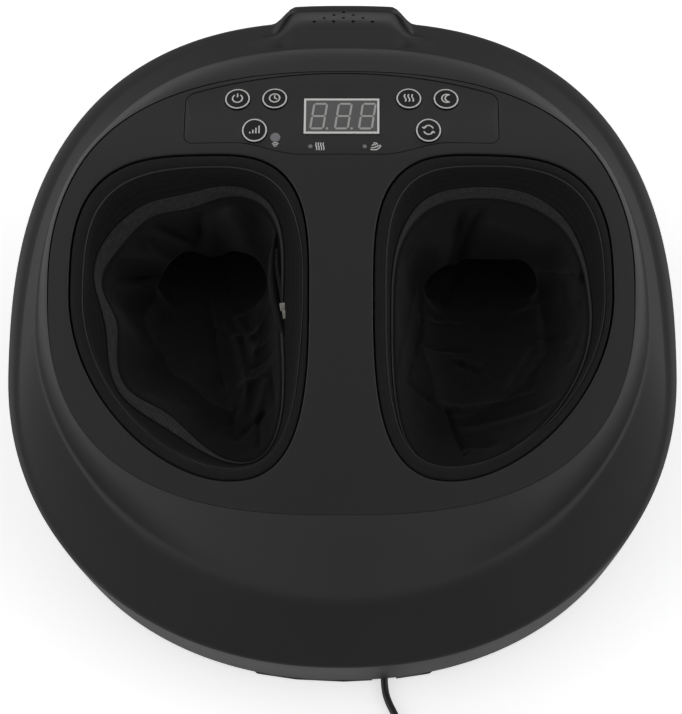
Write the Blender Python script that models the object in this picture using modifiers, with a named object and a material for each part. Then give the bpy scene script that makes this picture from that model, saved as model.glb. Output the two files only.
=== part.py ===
"""Foot massager with two lined wells, a curved control panel and kneading discs.

Metres, +Z up. The origin is at the middle of the footprint, on the floor. The user sits
at -Y and the toes point to +Y, under the control panel.
"""

from collections import namedtuple
from math import atan2, cos, hypot, pi, radians, sin, sqrt, tan

import bmesh
import bpy
from mathutils import Matrix, Vector

# Overall form
HALF_WIDTH = 0.200
NEAR_Y = -0.200
BODY_FAR_Y = 0.1826
EDGE_CENTRE_Y = -0.0283
EDGE_NEAR_Z = 0.064
EDGE_TILT = radians(13.0)
EDGE_ROUND = 0.0025
WALL = 0.0026
CLEARANCE = 0.0003
OVERRUN = 0.004

# Rows of the outer shell, from its foot to the seam
SHELL_FOOT_Z = 0.008
SHELL_FOOT_INSET = 0.004
WAIST_HEIGHT_SHARE = 0.45
VALLEY_INSET = 0.019
VALLEY_HALF_WIDTH = HALF_WIDTH - VALLEY_INSET
VALLEY_CENTRE_Y = -0.005
VALLEY_FAR = 0.165
VALLEY_NEAR = 0.161
VALLEY_RISE = 0.006
VALLEY_FILLET = 0.004
POD_SHOULDER_SHARES = (0.30, 0.50)
POD_FOOT_SHARES = (0.15, 0.04)
POD_FOOT_RISE_SHARES = (0.35, 0.50)
POD_FAR_START = 0.55
POD_FAR_END = 0.90
POD_ROW_SHARES = (0.18, 0.42, 0.74)
SKIRT_ROW_SHARE = 0.50
COLUMNS = 36

# Bump on the back, with its vent holes
BUMP_OUT = 0.0190
BUMP_FLAT_HALF = 0.0300
BUMP_ROOT_HALF = 0.0435
BUMP_DROP = 0.015
BUMP_CROWN = 0.0071
BUMP_FADE_LOW_Z = 0.030
BUMP_FADE_HIGH_Z = 0.115
BUMP_COLUMN_SHARES = (0.0, 0.25, 0.5, 0.68, 0.84, 1.0, 1.12)
VENT_DIAMETER = 0.0021
VENT_PITCH_X = 0.0119
VENT_ROW_PITCH = 0.0054
VENT_ROWS = 4
VENT_SIDES = 8
VENT_APEX_SETBACK = 0.0045
VENT_DEPTH = 0.014

# Plateau of the pod: a tilted, slightly crowned plane that rolls over the ridge
PLATEAU_TILT = radians(14.0)
PLATEAU_NEAR_Z = 0.128
RIDGE_START_Y = 0.073
RIDGE_RADIUS = 0.094
CROWN_RADIUS = 2.0
POD_WALL_LEAN = 0.008
SEAM_HALF_WIDTH = VALLEY_HALF_WIDTH - POD_WALL_LEAN
SEAM_CENTRE_Y = 0.005
SEAM_FAR = 0.1312
SEAM_NEAR = 0.131
COVER_THICKNESS = 0.0025
COVER_RING_SHARES = (0.90, 0.68, 0.38)

# Foot wells
WELL_BORDER = 0.0155
BRIDGE_HALF_WIDTH = 0.0187
WELL_MIDDLE_SHARE = 0.44164
WELL_SIDE_X = SEAM_HALF_WIDTH - WELL_BORDER
WELL_CENTRE_X = BRIDGE_HALF_WIDTH + (WELL_SIDE_X - BRIDGE_HALF_WIDTH) * WELL_MIDDLE_SHARE
WELL_CENTRE_Y = 0.0
WELL_INNER = WELL_CENTRE_X - BRIDGE_HALF_WIDTH
WELL_OUTER = WELL_SIDE_X - WELL_CENTRE_X
WELL_FAR = 0.077
WELL_NEAR = 0.107
WELL_LEAN = 0.017
WELL_COLUMNS = 28
COLLAR_WIDTH = 0.0070
COLLAR_HEIGHT = 0.0090
COLLAR_PROUD = 0.0016
COLLAR_ROLL = 0.0022

# Control panel
PANEL_WIDTH_SHARE = 0.5301
PANEL_HALF_WIDTH = SEAM_HALF_WIDTH * PANEL_WIDTH_SHARE
PANEL_FAR_Y = 0.1327
PANEL_NEAR_Y = 0.0765
PANEL_TOP_DROP = 0.0167
PANEL_NEAR_FLAT_SHARE = 0.26
PANEL_NEAR_END_SHARE = 0.69
PANEL_NEAR_RISE = 0.0074
PANEL_CORNER = 0.0045
PANEL_CORNER_SHARES = (0.0, 0.12, 0.45, 1.0)
PANEL_THICKNESS = 0.0025
PANEL_SINK = 0.0006
PANEL_COLUMN_SHARES = (0.0, 0.18, 0.34, 0.5, 0.68, 0.84)
PANEL_ROWS = 4

# Buttons: far row, then near row; across, as shares of the panel's half width
BUTTON_DIAMETER = 0.0150
BUTTON_PROUD = 0.0010
BUTTON_BODY = 0.0050
BUTTON_TRAVEL = 0.0008
BUTTON_CROWN = 0.0005
BUTTON_CROWN_SHARE = 0.55
BUTTON_SIDES = 14
STEM_DIAMETER = 0.0036
SWITCH_ROOM = 0.0020
OUTER_BUTTON_SHARE = 0.6663
INNER_BUTTON_SHARE = 0.4286
FAR_BUTTON_Y = 0.1122
LOW_BUTTON_SHARE = 0.5518
NEAR_BUTTON_Y = 0.0909

# Display, receiver and indicator lamps
DISPLAY_WIDTH = 0.0440
DISPLAY_DEPTH = 0.0235
DISPLAY_Y = 0.1003
DISPLAY_THICKNESS = 0.0016
MODULE_WIDTH = 0.0376
MODULE_DEPTH = 0.0190
MODULE_HEIGHT = 0.0062
RECEIVER_DIAMETER = 0.0058
RECEIVER_OFFSET = 0.0121
RECEIVER_Y = 0.0867
LAMP_DIAMETER = 0.0024
LAMP_LEFT_X = -0.0180
LAMP_RIGHT_X = 0.0135
LAMP_Y = 0.0811
LENS_HEIGHT = 0.0030
LENS_SIDES = 12

# Base
FOOT_HEIGHT = 0.0050
FOOT_RADIUS = 0.0130
FOOT_INSET = 0.080
FOOT_NEAR_Y = -0.118
FOOT_FAR_Y = 0.096
FOOT_SIDES = 20
TRAY_FLOOR = 0.0030
TRAY_INSET = 0.0004
TRAY_WALL = 0.0024
TRAY_RIM_HEIGHT = 0.014
NOSE_HALF_WIDTH = 0.057
NOSE_OUT = 0.0030

# Foot chambers
CHAMBER_WALL = 0.0024
CHAMBER_SIDE_GAP = 0.021
CHAMBER_BRIDGE_GAP = 0.0013
CHAMBER_CENTRE_Y = 0.015
CHAMBER_FAR = 0.132
CHAMBER_NEAR = 0.126
CHAMBER_FLOOR_Z = 0.0460
CHAMBER_FILLET = 0.012
CHAMBER_SHOULDER_NEAR_Z = 0.094
CHAMBER_SHOULDER_FAR_Z = 0.134
CHAMBER_NECK = 0.0100
RIM_INSET = 0.0010
POST_RADIUS = 0.0052
SCREW_RADIUS = 0.0017
SCREW_LENGTH = 0.016
SCREW_HEAD_RADIUS = 0.0036
SCREW_HEAD_HEIGHT = 0.0013
SCREW_SIDES = 8
POST_SIDES = 12
POST_PLACE_SHARES = ((0.62, -0.68), (-0.62, -0.68), (0.0, 0.74))

# Kneading discs and their drive
DISC_Y = 0.005
DISC_BORDER = 0.012
DISC_THICKNESS = 0.005
DISC_HOLE_GAP = 0.0035
DISC_SIDES = 28
DISC_DROP = 0.0010
NODE_COUNT = 3
NODE_ROW_SHARES = ((1.0, 0.0), (0.95, 0.45), (0.72, 0.80), (0.36, 0.97))
NODE_RADIUS_SHARE = 0.2976
NODE_ORBIT_SHARE = 0.5714
NODE_HEIGHT = 0.015
NODE_SIDES = 10
SPINDLE_RADIUS = 0.0040
SPINDLE_SIDES = 12
WHEEL_TEETH = 30
GEAR_MODULE = 0.0015
WHEEL_FACE = 0.0050
TOOTH_ROOT_SHARE = 0.50
TOOTH_TIP_SHARE = 0.20
TOOTH_ADDENDUM = 0.0010
TOOTH_DEDENDUM = 0.0016
WORM_PITCH_RADIUS = 0.0070
WORM_ADDENDUM = 0.0010
WORM_ROOT_DROP = 0.0017
WORM_TURNS = 2.6
WORM_STEPS = 8
THREAD_STEPS = 1
SHAFT_RADIUS = 0.0030
SHAFT_END_OVER = 0.0320
CASE_WALL = 0.0024
CASE_SIDE_GAP = 0.0022
CASE_NEAR_GAP = 0.0030
CASE_COVER = 0.0022

# Motor, pump, valves and boards
MOTOR_RADIUS = 0.01385
MOTOR_LENGTH = 0.050
MOTOR_SIDES = 24
CRADLE_WIDTH = 0.006
CRADLE_SPREAD = 0.034
CRADLE_DEPTH = 0.022
CRADLE_HEIGHT = 0.010
PUMP_SIZE = (0.040, 0.056, 0.030)
PUMP_Y = 0.062
VALVE_SIZE = (0.036, 0.018, 0.016)
VALVE_PORT_X = 0.009
MAIN_BOARD_SIZE = (0.084, 0.052, 0.0016)
MAIN_BOARD_Y = -0.122
STANDOFF_HEIGHT = 0.006
STANDOFF_RADIUS = 0.003
CHIP_SIZE = (0.024, 0.016, 0.010)
CONTROL_BOARD_SIZE = (0.150, 0.040, 0.0016)
STANDOFF_SIDES = 10

# Air cells, sole heaters and hoses
CELL_SIZE = (0.0062, 0.056, 0.044)
CELL_Z = 0.084
CELL_BACK_GAP = 0.0011
CELL_ROUND = 0.0024
HEATER_SIDE_GAP = 0.031
HEATER_DEPTH = 0.042
HEATER_THICKNESS = 0.0012
HEATER_GAP = 0.0105
HOSE_RADIUS = 0.0025
HOSE_HOLE_GAP = 0.0004
HOSE_BEND = 0.014
HOSE_POINTS = 6

# Liners
LINER_WALL = 0.0012
LINER_GAP = 0.0088
LINER_FLOOR_LIFT = 0.0215
LINER_FOLD = 0.0024
LINER_FOLDS = 7
LINER_ROW_SHARES = (0.0, 0.28, 0.56, 0.84)
LINER_FLOOR_ROUND = 0.010
LINER_TURN = 0.9

# Lead, its coil and its power supply
CORD_RADIUS = 0.0022
GLAND_X = 0.0250
GLAND_Y = -0.1560
GLAND_SIDES = 12
GLAND_LENGTH = 0.022
GLAND_ROOT_RADIUS = 0.0040
GLAND_TIP_RADIUS = 0.0029
GLAND_BLOCK = (0.014, 0.010, 0.0075)
GLAND_AXIS_Z = 0.0052
COIL_X = 0.0980
COIL_Y = -0.2640
COIL_INNER = 0.0150
COIL_PITCH = 0.0050
COIL_LAYER_PITCH = 0.0051
COIL_TURNS = 8
COIL_START = radians(240.0)
COIL_END = radians(270.0)
COIL_TAIL = 0.0400
TIE_ANGLE = radians(60.0)
TIE_SLACK = 0.0004
COIL_LIFT = 0.0012
LOOP_POINTS = 24
TIE_THICKNESS = 0.0009
TIE_WIDTH = 0.0060
ADAPTER_SIZE = (0.062, 0.040, 0.030)
ADAPTER_ROUND = 0.004
PIN_SIZE = (0.0170, 0.0064, 0.0015)
PIN_SPACING = 0.0127
ADAPTER_SHIFT = 0.0090

CHAMBER_SIDE_X = SEAM_HALF_WIDTH - CHAMBER_SIDE_GAP
CHAMBER_BRIDGE_X = BRIDGE_HALF_WIDTH + CHAMBER_BRIDGE_GAP
CHAMBER_CENTRE_X = (CHAMBER_SIDE_X + CHAMBER_BRIDGE_X) / 2
CHAMBER_HALF = (CHAMBER_SIDE_X - CHAMBER_BRIDGE_X) / 2
DISC_X = CHAMBER_CENTRE_X
DISC_RADIUS = CHAMBER_HALF - CHAMBER_FILLET - DISC_BORDER
NODE_RADIUS = DISC_RADIUS * NODE_RADIUS_SHARE
NODE_ORBIT = DISC_RADIUS * NODE_ORBIT_SHARE
HEATER_Y = DISC_Y + DISC_RADIUS + DISC_HOLE_GAP + HEATER_GAP + HEATER_DEPTH / 2
FOOT_X = HALF_WIDTH - FOOT_INSET
RECEIVER_X = RECEIVER_OFFSET - PANEL_HALF_WIDTH * LOW_BUTTON_SHARE
BOARD_DEPTH = PANEL_SINK + DISPLAY_THICKNESS + MODULE_HEIGHT + 2 * CLEARANCE
STEM_LENGTH = BOARD_DEPTH - SWITCH_ROOM - BUTTON_TRAVEL - BUTTON_BODY + BUTTON_PROUD

Outline = namedtuple("Outline", "x y inner outer near far lean powers")

EDGE = Outline(0.0, EDGE_CENTRE_Y, HALF_WIDTH, HALF_WIDTH, EDGE_CENTRE_Y - NEAR_Y,
               BODY_FAR_Y - EDGE_CENTRE_Y, 0.0, (2.52, 2.52, 2.12, 2.12))
VALLEY = Outline(0.0, VALLEY_CENTRE_Y, VALLEY_HALF_WIDTH, VALLEY_HALF_WIDTH, VALLEY_NEAR,
                 VALLEY_FAR, 0.0, (2.37, 2.37, 1.87, 1.87))
SEAM = Outline(0.0, SEAM_CENTRE_Y, SEAM_HALF_WIDTH, SEAM_HALF_WIDTH, SEAM_NEAR, SEAM_FAR,
               0.0, (2.3, 2.3, 2.6, 2.6))
WELL = Outline(WELL_CENTRE_X, WELL_CENTRE_Y, WELL_INNER, WELL_OUTER, WELL_NEAR, WELL_FAR,
               WELL_LEAN, (3.1, 3.2, 2.25, 1.93))
CHAMBER = Outline(CHAMBER_CENTRE_X, CHAMBER_CENTRE_Y, CHAMBER_HALF, CHAMBER_HALF,
                  CHAMBER_NEAR, CHAMBER_FAR, 0.0, (2.5, 2.9, 2.5, 2.3))

TRAY_BOTTOM_Z = FOOT_HEIGHT
TRAY_TOP_Z = TRAY_BOTTOM_Z + TRAY_FLOOR
WHEEL_PITCH_RADIUS = GEAR_MODULE * WHEEL_TEETH / 2
GEAR_SPACING = WHEEL_PITCH_RADIUS + WORM_PITCH_RADIUS
SHAFT_Y = DISC_Y - GEAR_SPACING
TOOTH_TIP_RADIUS = WHEEL_PITCH_RADIUS + TOOTH_ADDENDUM
WORM_TIP_RADIUS = WORM_PITCH_RADIUS + WORM_ADDENDUM
COLLAR_DEPTH = COLLAR_HEIGHT - COLLAR_PROUD
VALVE_Y = PUMP_Y - PUMP_SIZE[1] / 2 - CLEARANCE - VALVE_SIZE[1] / 2
LINER_FLOOR_Z = CHAMBER_FLOOR_Z + LINER_FLOOR_LIFT
SHAFT_Z = TRAY_TOP_Z + CLEARANCE + MOTOR_RADIUS
WORM_LEAD = pi * GEAR_MODULE
CASE_LOW_Z = TRAY_TOP_Z + CLEARANCE
CASE_TOP_Z = SHAFT_Z + WORM_TIP_RADIUS + CASE_SIDE_GAP
SIDES = {"left": -1, "right": 1}


# Scene and collections

for old in list(bpy.data.objects):
    bpy.data.objects.remove(old)

parts = bpy.data.collections.new("foot_massager")
cutters = bpy.data.collections.new("cutters")
bpy.context.scene.collection.children.link(parts)
bpy.context.scene.collection.children.link(cutters)


def material(name, colour, roughness, metallic=0.0):
    """Return the named Principled material, made on first use."""
    found = bpy.data.materials.get(name)
    if found:
        return found
    made = bpy.data.materials.new(name)
    made.use_nodes = True
    shader = made.node_tree.nodes["Principled BSDF"]
    shader.inputs["Base Color"].default_value = (*colour, 1.0)
    shader.inputs["Roughness"].default_value = roughness
    shader.inputs["Metallic"].default_value = metallic
    made.diffuse_color = (*colour, 1.0)
    return made


MATERIALS = {
    "shell_plastic": ((0.018, 0.017, 0.017), 0.42),
    "panel_plastic": ((0.014, 0.014, 0.014), 0.30),
    "button_rubber": ((0.016, 0.016, 0.016), 0.50),
    "window_acrylic": ((0.16, 0.16, 0.16), 0.12),
    "inner_plastic": ((0.55, 0.54, 0.50), 0.50),
    "gear_plastic": ((0.78, 0.76, 0.70), 0.40),
    "foot_rubber": ((0.02, 0.02, 0.02), 0.80),
    "collar_fabric": ((0.012, 0.012, 0.012), 0.90),
    "liner_cloth": ((0.010, 0.010, 0.011), 0.95),
    "zinc_steel": ((0.62, 0.62, 0.60), 0.32, 1.0),
    "board_laminate": ((0.02, 0.16, 0.07), 0.50),
    "air_vinyl": ((0.10, 0.10, 0.11), 0.45),
    "heater_film": ((0.42, 0.18, 0.05), 0.40),
    "cord_vinyl": ((0.018, 0.018, 0.018), 0.45),
}


def keep(name, mesh, finish, collection=parts):
    """Link a mesh as a named object of the given finish."""
    made = bpy.data.objects.new(name, mesh)
    mesh.name = name
    mesh.materials.clear()
    mesh.materials.append(material(finish, *MATERIALS[finish]))
    collection.objects.link(made)
    return made


def as_cutter(tool):
    """Hide a cutting or joining solid from the model."""
    for owner in list(tool.users_collection):
        owner.objects.unlink(tool)
    cutters.objects.link(tool)
    tool.display_type = "WIRE"
    tool.hide_render = True
    return tool


def combine(target, tool, operation):
    """Cut a solid with a tool, or unite them, and keep the modifier live."""
    step = target.modifiers.new(operation.lower(), "BOOLEAN")
    step.operation = operation
    step.object = as_cutter(tool)
    return target


def mesh_from(work, smooth_angle=radians(35.0)):
    """Close a bmesh into a mesh with its faces outwards and round stretches smooth."""
    bmesh.ops.recalc_face_normals(work, faces=work.faces)
    mesh = bpy.data.meshes.new("mesh")
    work.to_mesh(mesh)
    work.free()
    mesh.shade_smooth()
    mesh.set_sharp_from_angle(angle=smooth_angle)
    return mesh


def add_block(work, size, place, turn=Matrix.Identity(3)):
    """Add a box of the given size, centred at place, to a bmesh."""
    scale = Matrix.Diagonal(Vector((*size, 1.0)))
    where = Matrix.Translation(place) @ turn.to_4x4() @ scale
    bmesh.ops.create_cube(work, size=1.0, matrix=where)


def add_round(work, radius, length, place, axis, sides, tip_radius=None):
    """Add a cylinder or cone, centred at place, along an axis, to a bmesh."""
    turn = Vector(axis).to_track_quat("Z", "X").to_matrix().to_4x4()
    end = radius if tip_radius is None else tip_radius
    bmesh.ops.create_cone(work, cap_ends=True, segments=sides, radius1=radius, radius2=end,
                          depth=length, matrix=Matrix.Translation(place) @ turn)


def block(name, size, place, finish):
    """Make a box-shaped object."""
    work = bmesh.new()
    add_block(work, size, Vector(place))
    return keep(name, mesh_from(work), finish)


def round_bar(name, radius, length, place, axis, sides, finish, tip_radius=None):
    """Make a cylinder or cone as an object."""
    work = bmesh.new()
    add_round(work, radius, length, Vector(place), axis, sides, tip_radius)
    return keep(name, mesh_from(work), finish)


def tool_bars(name, bars, sides):
    """Make one cutter or joiner from several separate (radius, length, place, axis)."""
    work = bmesh.new()
    for radius, length, place, axis in bars:
        add_round(work, radius, length, Vector(place), axis, sides)
    return keep(name, mesh_from(work), "inner_plastic")


# Surfaces and outlines

def smooth_share(value):
    """Ease from 0 to 1 with level ends."""
    value = min(max(value, 0.0), 1.0)
    return value * value * (3 - 2 * value)


def top_z(x, y):
    """Height of the plateau and of the ridge that it rolls over."""
    near_y = SEAM_CENTRE_Y - SEAM_NEAR
    rise = tan(PLATEAU_TILT)
    crown = x * x / (2 * CROWN_RADIUS)
    if y <= RIDGE_START_Y:
        return PLATEAU_NEAR_Z + (y - near_y) * rise - crown
    start_z = PLATEAU_NEAR_Z + (RIDGE_START_Y - near_y) * rise
    reach = y - RIDGE_START_Y - RIDGE_RADIUS * sin(PLATEAU_TILT)
    drop = sqrt(max(RIDGE_RADIUS ** 2 - reach * reach, 0.0))
    return start_z - RIDGE_RADIUS * cos(PLATEAU_TILT) + drop - crown


def top_normal(x, y):
    """Outward direction of the plateau at a place."""
    step = CLEARANCE
    along_x = (top_z(x + step, y) - top_z(x - step, y)) / (2 * step)
    along_y = (top_z(x, y + step) - top_z(x, y - step)) / (2 * step)
    return Vector((-along_x, -along_y, 1.0)).normalized()


def on_top(x, y, above=0.0):
    """Point of the plateau, raised along its outward direction."""
    return Vector((x, y, top_z(x, y))) + top_normal(x, y) * above


def outline_xy(outline, angle, grow=0.0, mirror=1):
    """Point of a four-part superellipse outline in the direction of an angle."""
    over = cos(angle) >= 0
    beyond = sin(angle) >= 0
    half_x = (outline.outer if over else outline.inner) + grow
    half_y = (outline.far if beyond else outline.near) + grow
    power = outline.powers[(0 if over else 1) if beyond else (3 if over else 2)]
    reach = ((abs(cos(angle)) / half_x) ** power + (abs(sin(angle)) / half_y) ** power)
    reach = reach ** (-1 / power)
    x = outline.x + reach * cos(angle)
    y = outline.y + reach * sin(angle)
    if not beyond:
        x -= outline.lean * ((outline.y - y) / half_y) ** 2
    return mirror * x, y


def round_angles(count):
    """Evenly spaced directions round a full turn."""
    return [2 * pi * step / count for step in range(count)]


def edge_z(y):
    """Height of the crisp edge, which lies in a tilted plane."""
    return EDGE_NEAR_Z + (y - NEAR_Y) * tan(EDGE_TILT)


def loft(rings, close_start=True, close_end=True, ring_loop=False):
    """Skin a row of rings of equal count, and close its ends."""
    work = bmesh.new()
    rows = [[work.verts.new(point) for point in ring] for ring in rings]
    pairs = list(zip(rows, rows[1:]))
    if ring_loop:
        pairs.append((rows[-1], rows[0]))
    for low, high in pairs:
        for index in range(len(low)):
            after = (index + 1) % len(low)
            work.faces.new((low[index], low[after], high[after], high[index]))
    if not ring_loop and close_start:
        work.faces.new(reversed(rows[0]))
    if not ring_loop and close_end:
        work.faces.new(rows[-1])
    return work


def inner_rings(rings, centre, wall, side, start_end, last_end):
    """Offset rings by a wall, within the upright plane through each point and the centre."""
    made = [[] for _ in rings]
    for index in range(len(rings[0])):
        column = [ring[index] for ring in rings]
        widest = max(column, key=lambda point: hypot(point.x - centre[0], point.y - centre[1]))
        outward = Vector((widest.x - centre[0], widest.y - centre[1], 0.0)).normalized()
        for row, point in enumerate(column):
            before = column[max(row - 1, 0)]
            after = column[min(row + 1, len(column) - 1)]
            run = after - before
            across = Vector((run.dot(outward), run.z)).normalized()
            push = outward * (-side * across.y) + Vector((0.0, 0.0, side * across.x))
            if row == 0 and start_end:
                push = start_end(outward)
            if row == len(column) - 1 and last_end:
                push = last_end(outward)
            made[row].append(point + push * wall)
    return made


# Outer shell: base wall, crisp edge, skirt, pod wall and the bump with its vents

def bump_share(x, y):
    """How much of the bump stands out at a place of the back."""
    if y < EDGE_CENTRE_Y:
        return 0.0
    return smooth_share((BUMP_ROOT_HALF - abs(x)) / (BUMP_ROOT_HALF - BUMP_FLAT_HALF))


def shell_angles():
    """Directions of the shell's columns, closer together over the bump and the nose."""
    far = BODY_FAR_Y - EDGE_CENTRE_Y
    over_bump = []
    for share in BUMP_COLUMN_SHARES:
        over_bump.append(atan2(far, share * BUMP_ROOT_HALF))
        over_bump.append(pi - over_bump[-1])
    widest = max(abs(angle - pi / 2) for angle in over_bump)
    spread = [angle for angle in round_angles(COLUMNS) if abs(angle - pi / 2) > widest + pi / COLUMNS]
    nose = []
    for reach in (NOSE_HALF_WIDTH - NOSE_OUT, NOSE_HALF_WIDTH):
        nose.append(2 * pi - atan2(EDGE_CENTRE_Y - NEAR_Y, reach))
        nose.append(3 * pi - nose[-1])
    return sorted(set(round(angle, 9) for angle in over_bump + spread + nose))


def edge_point(angle, inset, drop, fade=1.0):
    """Point of the crisp edge, with the bump, moved in and down."""
    x, y = outline_xy(EDGE, angle, -inset)
    share = bump_share(x, y) * fade
    low = edge_z(min(y, BODY_FAR_Y)) - BUMP_DROP * share
    return Vector((x, y + BUMP_OUT * share, low - drop))


def blend_shares(shares, far):
    """A share that differs between the near and the far side."""
    return shares[0] + (shares[1] - shares[0]) * far


def pod_points(angle):
    """Column of the pod's wall, from the valley up to the seam."""
    foot_x, foot_y = outline_xy(VALLEY, angle)
    foot = Vector((foot_x, foot_y, edge_z(foot_y) + VALLEY_RISE))
    seam_x, seam_y = outline_xy(SEAM, angle)
    seam = Vector((seam_x, seam_y, top_z(seam_x, seam_y)))
    run = Vector((foot.x - seam.x, foot.y - seam.y, 0.0))
    slope = top_normal(seam.x, seam.y)
    fall = -(slope.x * run.x + slope.y * run.y) / slope.z
    far = smooth_share((sin(angle) - POD_FAR_START) / (POD_FAR_END - POD_FAR_START))
    shoulder = seam + (run + Vector((0.0, 0.0, fall))) * blend_shares(POD_SHOULDER_SHARES, far)
    rise = (seam.z - foot.z) * blend_shares(POD_FOOT_RISE_SHARES, far)
    root = foot - run * blend_shares(POD_FOOT_SHARES, far) + Vector((0.0, 0.0, rise))
    column = [foot]
    for share in POD_ROW_SHARES:
        rest = 1 - share
        column.append(foot * rest ** 3 + root * (3 * rest * rest * share)
                      + shoulder * (3 * rest * share * share) + seam * share ** 3)
    column.append(seam)
    return column


def shell_column(angle):
    """Outer points of the shell in one direction, from the foot to the seam."""
    top = edge_point(angle, EDGE_ROUND, 0.0)
    side = edge_point(angle, 0.0, EDGE_ROUND)
    waist_z = SHELL_FOOT_Z + (side.z - SHELL_FOOT_Z) * WAIST_HEIGHT_SHARE
    fade = smooth_share((waist_z - BUMP_FADE_LOW_Z) / (BUMP_FADE_HIGH_Z - BUMP_FADE_LOW_Z))
    waist = edge_point(angle, SHELL_FOOT_INSET * WAIST_HEIGHT_SHARE, 0.0, fade)
    waist.z = waist_z
    foot = edge_point(angle, SHELL_FOOT_INSET, 0.0, 0.0)
    foot.z = SHELL_FOOT_Z
    wall = pod_points(angle)
    out = Vector((top.x - wall[0].x, top.y - wall[0].y, 0.0))
    valley = wall[0] + out.normalized() * min(VALLEY_FILLET, out.length / 2)
    crown = BUMP_CROWN * bump_share(*outline_xy(EDGE, angle))
    skirt = valley.lerp(top, SKIRT_ROW_SHARE) + Vector((0.0, 0.0, crown))
    return [foot, waist, side, top, skirt, valley] + wall[1:]


def vent_places():
    """Centres of the vent holes: rows of one to four on the bump's sloping face, one lowest."""
    top, skirt = shell_column(pi / 2)[3:5]
    uphill = (skirt - top).normalized()
    places = []
    for row in range(VENT_ROWS):
        middle = top + uphill * (VENT_APEX_SETBACK + row * VENT_ROW_PITCH)
        for count in range(row + 1):
            places.append(middle + Vector(((count - row / 2) * VENT_PITCH_X, 0.0, 0.0)))
    return places


def make_outer_shell():
    columns = [shell_column(angle) for angle in shell_angles()]
    outer = [list(ring) for ring in zip(*columns)]
    inner = inner_rings(outer, (0.0, EDGE_CENTRE_Y), WALL, 1.0,
                        lambda out: -out, lambda out: Vector((0.0, 0.0, -1.0)))
    work = loft(outer + inner[::-1], ring_loop=True)
    shell = keep("outer_shell", mesh_from(work), "shell_plastic")
    bars = [(VENT_DIAMETER / 2, VENT_DEPTH, place, (0.0, 0.0, 1.0)) for place in vent_places()]
    return combine(shell, tool_bars("vent_drills", bars, VENT_SIDES), "DIFFERENCE")


# Top cover, with the openings of the wells and of the panel

def upright_plate(rings, thickness):
    """Closed plate under a nest of rings that end in a middle face."""
    work = loft(rings, close_start=False, close_end=True)
    lowered = bmesh.ops.extrude_face_region(work, geom=work.faces[:])
    moved = [item for item in lowered["geom"] if isinstance(item, bmesh.types.BMVert)]
    bmesh.ops.translate(work, verts=moved, vec=(0.0, 0.0, -thickness))
    return work


def prism(points, low_z, high_z):
    """Upright prism over an outline."""
    rings = [[Vector((x, y, z)) for x, y in points] for z in (low_z, high_z)]
    return loft(rings)


def panel_edge_y(x):
    """Near and far edges of the panel at a place across it."""
    across = abs(x) / PANEL_HALF_WIDTH
    past = (across - PANEL_NEAR_FLAT_SHARE) / (PANEL_NEAR_END_SHARE - PANEL_NEAR_FLAT_SHARE)
    near = PANEL_NEAR_Y + PANEL_NEAR_RISE * smooth_share(past)
    far = PANEL_FAR_Y - PANEL_TOP_DROP * across ** 2
    into = abs(x) - (PANEL_HALF_WIDTH - PANEL_CORNER)
    if into > 0:
        turn = PANEL_CORNER - sqrt(max(PANEL_CORNER ** 2 - into * into, 0.0))
        near += turn
        far -= turn
    return near, far


def panel_places():
    """Columns across the panel, from left to right."""
    flat = PANEL_HALF_WIDTH - PANEL_CORNER
    half = [share * flat for share in PANEL_COLUMN_SHARES]
    half += [flat + PANEL_CORNER * sin(share * pi / 2) for share in PANEL_CORNER_SHARES]
    return [-x for x in half[:0:-1]] + half


def panel_outline(grow):
    """Outline of the panel, made wider all round."""
    stretch = 1 + grow / PANEL_HALF_WIDTH
    near = [(x * stretch, panel_edge_y(x)[0] - grow) for x in panel_places()]
    far = [(x * stretch, panel_edge_y(x)[1] + grow) for x in panel_places()]
    return near + far[::-1]


def well_points(grow, mirror, count=WELL_COLUMNS):
    """Outline of a well."""
    return [outline_xy(WELL, angle, grow, mirror) for angle in round_angles(count)]


def make_top_cover():
    rings = []
    angles = shell_angles()
    for share in (1.0,) + COVER_RING_SHARES:
        ring = []
        for angle in angles:
            x, y = outline_xy(SEAM, angle, -CLEARANCE)
            x *= share
            y = SEAM_CENTRE_Y + (y - SEAM_CENTRE_Y) * share
            ring.append(Vector((x, y, top_z(x, y))))
        rings.append(ring)
    cover = keep("top_cover", mesh_from(upright_plate(rings, COVER_THICKNESS)), "shell_plastic")
    low_z = PLATEAU_NEAR_Z - VALLEY_NEAR * tan(PLATEAU_TILT)
    high_z = PLATEAU_NEAR_Z + HALF_WIDTH * tan(PLATEAU_TILT) + RIDGE_RADIUS
    for side, mirror in SIDES.items():
        hole = mesh_from(prism(well_points(CLEARANCE, mirror), low_z, high_z))
        combine(cover, keep(side + "_well_cutter", hole, "inner_plastic"), "DIFFERENCE")
    recess = mesh_from(prism(panel_outline(CLEARANCE), low_z, high_z))
    return combine(cover, keep("panel_cutter", recess, "inner_plastic"), "DIFFERENCE")


# Control panel, its buttons, display, receiver and indicator lamps

BUTTON_PLACES = {
    "power_button": (-PANEL_HALF_WIDTH * OUTER_BUTTON_SHARE, FAR_BUTTON_Y),
    "timer_button": (-PANEL_HALF_WIDTH * INNER_BUTTON_SHARE, FAR_BUTTON_Y),
    "heating_button": (PANEL_HALF_WIDTH * INNER_BUTTON_SHARE, FAR_BUTTON_Y),
    "relax_button": (PANEL_HALF_WIDTH * OUTER_BUTTON_SHARE, FAR_BUTTON_Y),
    "intensity_button": (-PANEL_HALF_WIDTH * LOW_BUTTON_SHARE, NEAR_BUTTON_Y),
    "mode_button": (PANEL_HALF_WIDTH * LOW_BUTTON_SHARE, NEAR_BUTTON_Y),
}
LAMP_PLACES = {
    "heat_lamp_lens": (LAMP_LEFT_X, LAMP_Y),
    "air_lamp_lens": (LAMP_RIGHT_X, LAMP_Y),
}


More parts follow.
